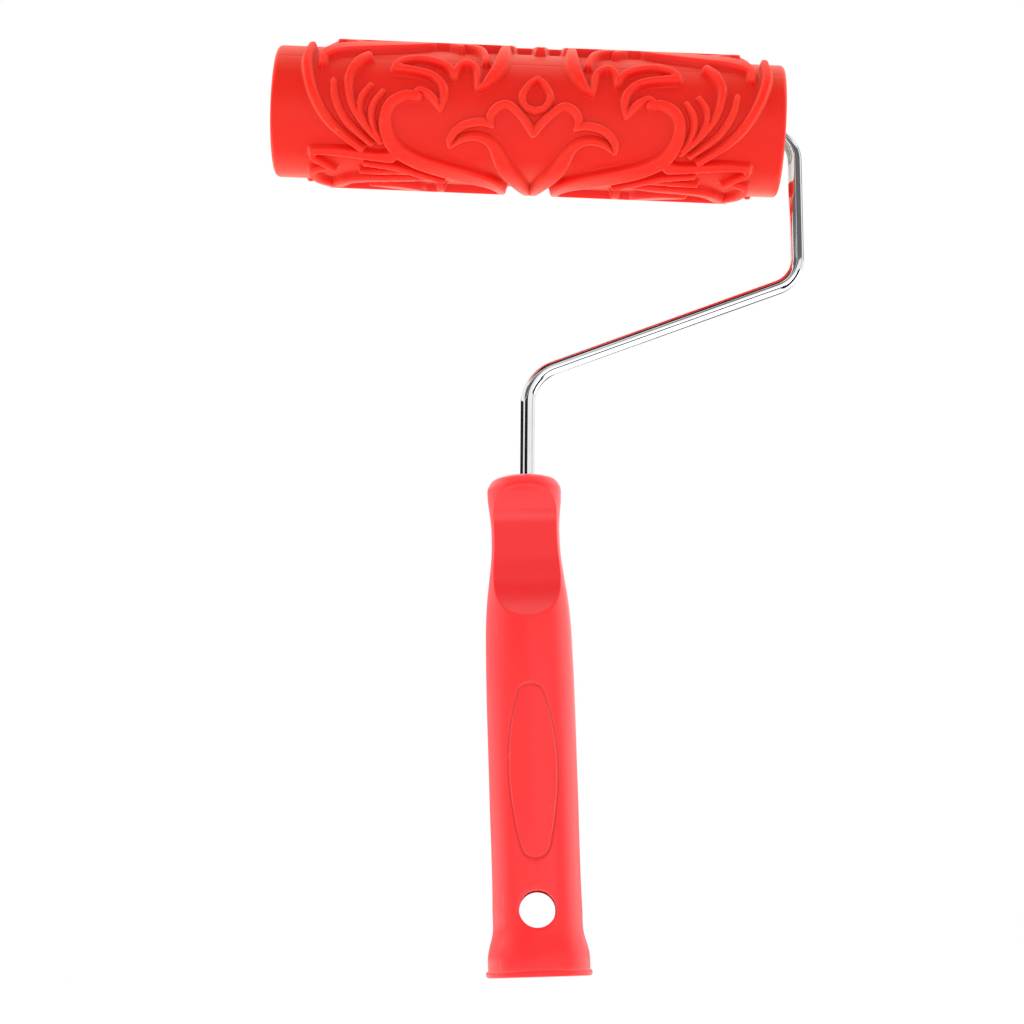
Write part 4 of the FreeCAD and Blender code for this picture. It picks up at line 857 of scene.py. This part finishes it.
def build_rod():
    """The bent wire with its two swaged ears."""
    sides = quick_or(40)
    stations = rod_stations()
    tip_x, tip_z, tip = stations[-1]
    verts, cells, travel = [], [], 0.0
    rings = [(x, z, a, WIRE_RADIUS) for x, z, a in stations[:-1]]
    rings.insert(0, (*stations[0], WIRE_RADIUS - TANG_CHAMFER))
    back = (tip_x - TIP_CHAMFER * math.cos(tip), tip_z - TIP_CHAMFER * math.sin(tip))
    rings += [(*back, tip, WIRE_RADIUS), (*stations[-1], WIRE_RADIUS - TIP_CHAMFER * 0.7)]
    before = rings[0][:2]
    for x, z, a, r in rings:
        travel += math.hypot(x - before[0], z - before[1])
        before = (x, z)
        for k in range(sides):
            u = 2 * math.pi * k / sides
            off = r * math.cos(u)
            verts.append(((x - off * math.sin(a)) * MM, r * math.sin(u) * MM,
                          (z + off * math.cos(a)) * MM))
            cells.append((travel * 0.01, math.cos(u), math.sin(u)))
    obj = new_object("plated_wire", verts, ring_faces(len(rings), sides, (True, True)))

    # swaged ears: a flat pad squeezed out of the rod beside the thrust washer
    width, thick, length = EARS
    pad_at = axle_place(NUT_SEAT)
    outline = []
    for k in range(EAR_SIDES):
        u = 2 * math.pi * k / EAR_SIDES
        c, s = math.cos(u), math.sin(u)
        outline.append((math.copysign(abs(c) ** EAR_SQUARENESS, c),
                        math.copysign(abs(s) ** EAR_SQUARENESS, s)))
    bm = bmesh.new()
    bm.from_mesh(obj.data)
    loops = []
    for h, grow in ((0.0, 0.88), (0.35, 0.98), (0.8, 1.0), (length - 0.8, 1.0),
                    (length - 0.35, 0.95), (length, 0.8)):
        loops.append([bm.verts.new(pad_at @ Vector((px * width / 2 * grow * MM,
                                                    py * thick / 2 * grow * MM, h * MM)))
                      for px, py in outline])
    for low, high in zip(loops, loops[1:]):
        for k in range(EAR_SIDES):
            m = (k + 1) % EAR_SIDES
            bm.faces.new((low[k], low[m], high[m], high[k]))
    bm.faces.new(loops[0][::-1])
    bm.faces.new(loops[-1])
    bmesh.ops.recalc_face_normals(bm, faces=bm.faces)
    bm.to_mesh(obj.data)
    bm.free()
    cells += [(0.0, 1.0, 0.0)] * (len(obj.data.vertices) - len(cells))
    layer = obj.data.attributes.new("rod_cell", "FLOAT_VECTOR", "POINT")
    layer.data.foreach_set("vector", np.array(cells, np.float32).ravel())
    obj.data.shade_smooth()
    finish_piece(obj, chrome_material(), "frame_wire", "hand_frame")


# ---------------------------------------------------------------- studio
FLOOR_RINGS, FLOOR_SIDES, FLOOR_HEIGHT = (0.0005, 0.4, 1.2, 3.0, 7.0), 96, -0.0002


def build_floor():
    verts = []
    for r in FLOOR_RINGS:
        for k in range(FLOOR_SIDES):
            a = 2 * math.pi * k / FLOOR_SIDES
            verts.append((r * math.cos(a), r * math.sin(a), FLOOR_HEIGHT))
    faces = ring_faces(len(FLOOR_RINGS), FLOOR_SIDES, (True, False))
    floor = new_object("studio_floor", verts, faces)
    n = Nodes("pale_floor")
    haze = n.noise(3.0, 3.0)
    base = n.mix(n.levels(haze, 0.3, 0.7, 0.0, 1.0), colour(250, 250, 250), colour(247, 247, 247))
    away = n.vector("LENGTH", n.place())
    glow = n.levels(away, 0.12, 0.9, 0.25, 1.0)
    floor.data.materials.append(n.surface(
        Base_Color=base, Roughness=0.7, Specular_IOR_Level=0.1,
        Emission_Color=colour(255, 255, 255), Emission_Strength=glow))


CARD_HEIGHT = 0.001
ARM_CARD = ((0.0, -0.53), (0.40, -0.27))          # low and high corners on the floor
CARD_SECTORS = ((50, 80), (135, 165), (-165, -135), (-80, -50))     # turns from the camera side
CARD_COURSE = ((0.30, CARD_HEIGHT), (0.6, CARD_HEIGHT), (1.0, CARD_HEIGHT), (1.6, CARD_HEIGHT),
               (1.6, 0.24))                       # radius, height


def card(name, rows, material):
    """A dark sheet that only the plating's reflections see."""
    step = len(rows[0])
    faces = [(j * step + i, j * step + i + 1, (j + 1) * step + i + 1, (j + 1) * step + i)
             for j in range(len(rows) - 1) for i in range(step - 1)]
    sheet = new_object(name, [point for row in rows for point in row], faces)
    sheet.data.materials.append(material)
    sheet.visible_camera = sheet.visible_diffuse = sheet.visible_shadow = False
    sheet.visible_transmission = sheet.visible_volume_scatter = False


def build_reflectors():
    """One card draws the arm's lower dark line; four sectors outline the rod from other sides."""
    n = Nodes("card_black")
    weave = n.noise(30.0, 2.0)
    material = n.surface(Base_Color=n.mix(weave, colour(10, 10, 10), colour(16, 16, 16)),
                         Roughness=0.9, Specular_IOR_Level=0.0)
    low, high = ARM_CARD
    columns, rows = 12, 6
    card("dark_card", [[(low[0] + (high[0] - low[0]) * i / columns,
                         low[1] + (high[1] - low[1]) * j / rows, CARD_HEIGHT)
                        for i in range(columns + 1)] for j in range(rows + 1)], material)
    for number, (first, last) in enumerate(CARD_SECTORS):
        turns = [math.radians(first + (last - first) * i / 8) for i in range(9)]
        card("dark_sector_%d" % number,
             [[(radius * math.sin(t), -radius * math.cos(t), height) for t in turns]
              for radius, height in CARD_COURSE], material)


# dark openings in the white tent that reflections see: turns from the camera side and rises
# (degrees), softness of the edges (degrees), grey level
TENT_OPENINGS = (((-48, -2), (4, 18), 1.0, 0.012), ((-174, -74), (4, 18), 1.0, 0.012),
                 ((70, 80), (2, 14), 2.0, 0.5), ((-60, -5), (20, 34), 1.5, 0.13),
                 ((1, 84), (16, 34), 1.5, 0.14), ((116, 132), (15, 34), 2.0, 0.1),
                 ((-60, 60), (42, 68), 3.0, 0.02))
# grey level of the light on everything else, from below the horizon to above it
SOFT_LIGHT = ((0.0, 0.46), (0.4, 0.6), (0.6, 0.82), (1.0, 0.95))


def build_world():
    """White to the camera, a tent with openings to reflections, soft light to the rest."""
    n = Nodes("studio", world=True)
    bpy.context.scene.world = n.material
    split = n.node("ShaderNodeSeparateXYZ")
    n.link(n.place(), split.inputs[0])
    x, y, z = split.outputs
    # 0 towards -Y, positive towards +X
    turn = n.maths("ARCTAN2", x, n.maths("MULTIPLY", y, -1.0))
    rise = n.maths("ARCSINE", z, 0.0)

    def window(angle, low, high, edge):
        """1 between two angles in degrees, falling off over edge degrees."""
        low, high, edge = math.radians(low), math.radians(high), math.radians(edge)
        return n.maths("MULTIPLY", n.levels(angle, low - edge, low, 0.0, 1.0),
                       n.levels(angle, high, high + edge, 1.0, 0.0))

    white = colour(255, 255, 255)
    tent = white
    for turns, rises, edge, level in TENT_OPENINGS:
        area = n.maths("MULTIPLY", window(turn, *turns, edge), window(rise, *rises, edge))
        tent = n.mix(area, tent, (level, level, level, 1.0))
    soft = n.ramp(n.levels(rise, -1.5, 1.5, 0.0, 1.0),
                  [(at, (level, level, level, 1.0)) for at, level in SOFT_LIGHT])
    path = n.node("ShaderNodeLightPath").outputs
    shown = n.mix(path["Is Glossy Ray"], soft, tent)
    shown = n.mix(path["Is Camera Ray"], shown, white)
    light = n.node("ShaderNodeBackground", Strength=1.0)
    n.link(shown, light.inputs[0])
    n.link(light.outputs[0], n.out.inputs[0])


# name, place, width, height, power
LIGHTS = (("key_above", (-0.3, -0.55, 1.25), 0.9, 0.9, 2.2),
          ("top", (0.0, 0.15, 1.35), 0.7, 0.7, 1.6),
          ("side_left", (-1.1, 0.15, 0.3), 0.7, 1.3, 3.6),
          ("side_right", (1.1, 0.15, 0.3), 0.7, 1.3, 3.6))
LIGHT_AIM = Vector((0.0, 0.0, 0.2))


def build_lights():
    for name, at, width, height, power in LIGHTS:
        data = bpy.data.lights.new(name, "AREA")
        data.shape, data.size, data.size_y, data.energy = "RECTANGLE", width, height, power
        obj = bpy.data.objects.new(name, data)
        bpy.context.scene.collection.objects.link(obj)
        obj.location = at
        obj.rotation_euler = (LIGHT_AIM - Vector(at)).to_track_quat("-Z", "Y").to_euler()
        obj.visible_camera = obj.visible_glossy = False


CAMERA_AT = (-0.004352, -0.720, 0.001941)
CAMERA_PITCH, CAMERA_ROLL = math.radians(12.0), math.radians(1.74)      # up, and leaning right
CAMERA_SENSOR, CAMERA_LENS = 36.0, 76.0


def build_camera():
    sin_pitch, cos_pitch = math.sin(CAMERA_PITCH), math.cos(CAMERA_PITCH)
    sin_roll, cos_roll = math.sin(CAMERA_ROLL), math.cos(CAMERA_ROLL)
    right = Vector((cos_roll, sin_pitch * sin_roll, -cos_pitch * sin_roll))
    up = Vector((sin_roll, -sin_pitch * cos_roll, cos_pitch * cos_roll))
    data = bpy.data.cameras.new("camera")
    data.sensor_width, data.lens = CAMERA_SENSOR, CAMERA_LENS
    data.clip_start = 0.01
    cam = bpy.data.objects.new("camera", data)
    bpy.context.scene.collection.objects.link(cam)
    turn = Matrix((right, up, right.cross(up))).transposed().to_4x4()
    cam.matrix_world = Matrix.Translation(CAMERA_AT) @ turn
    bpy.context.scene.camera = cam


build_sleeve()
build_handle()
build_rod()
build_caps_and_tube()
build_washers_and_nut()
build_floor()
build_reflectors()
build_world()
build_lights()
build_camera()
bpy.context.scene.view_settings.view_transform = "Standard"
bpy.context.scene.view_settings.look = "None"
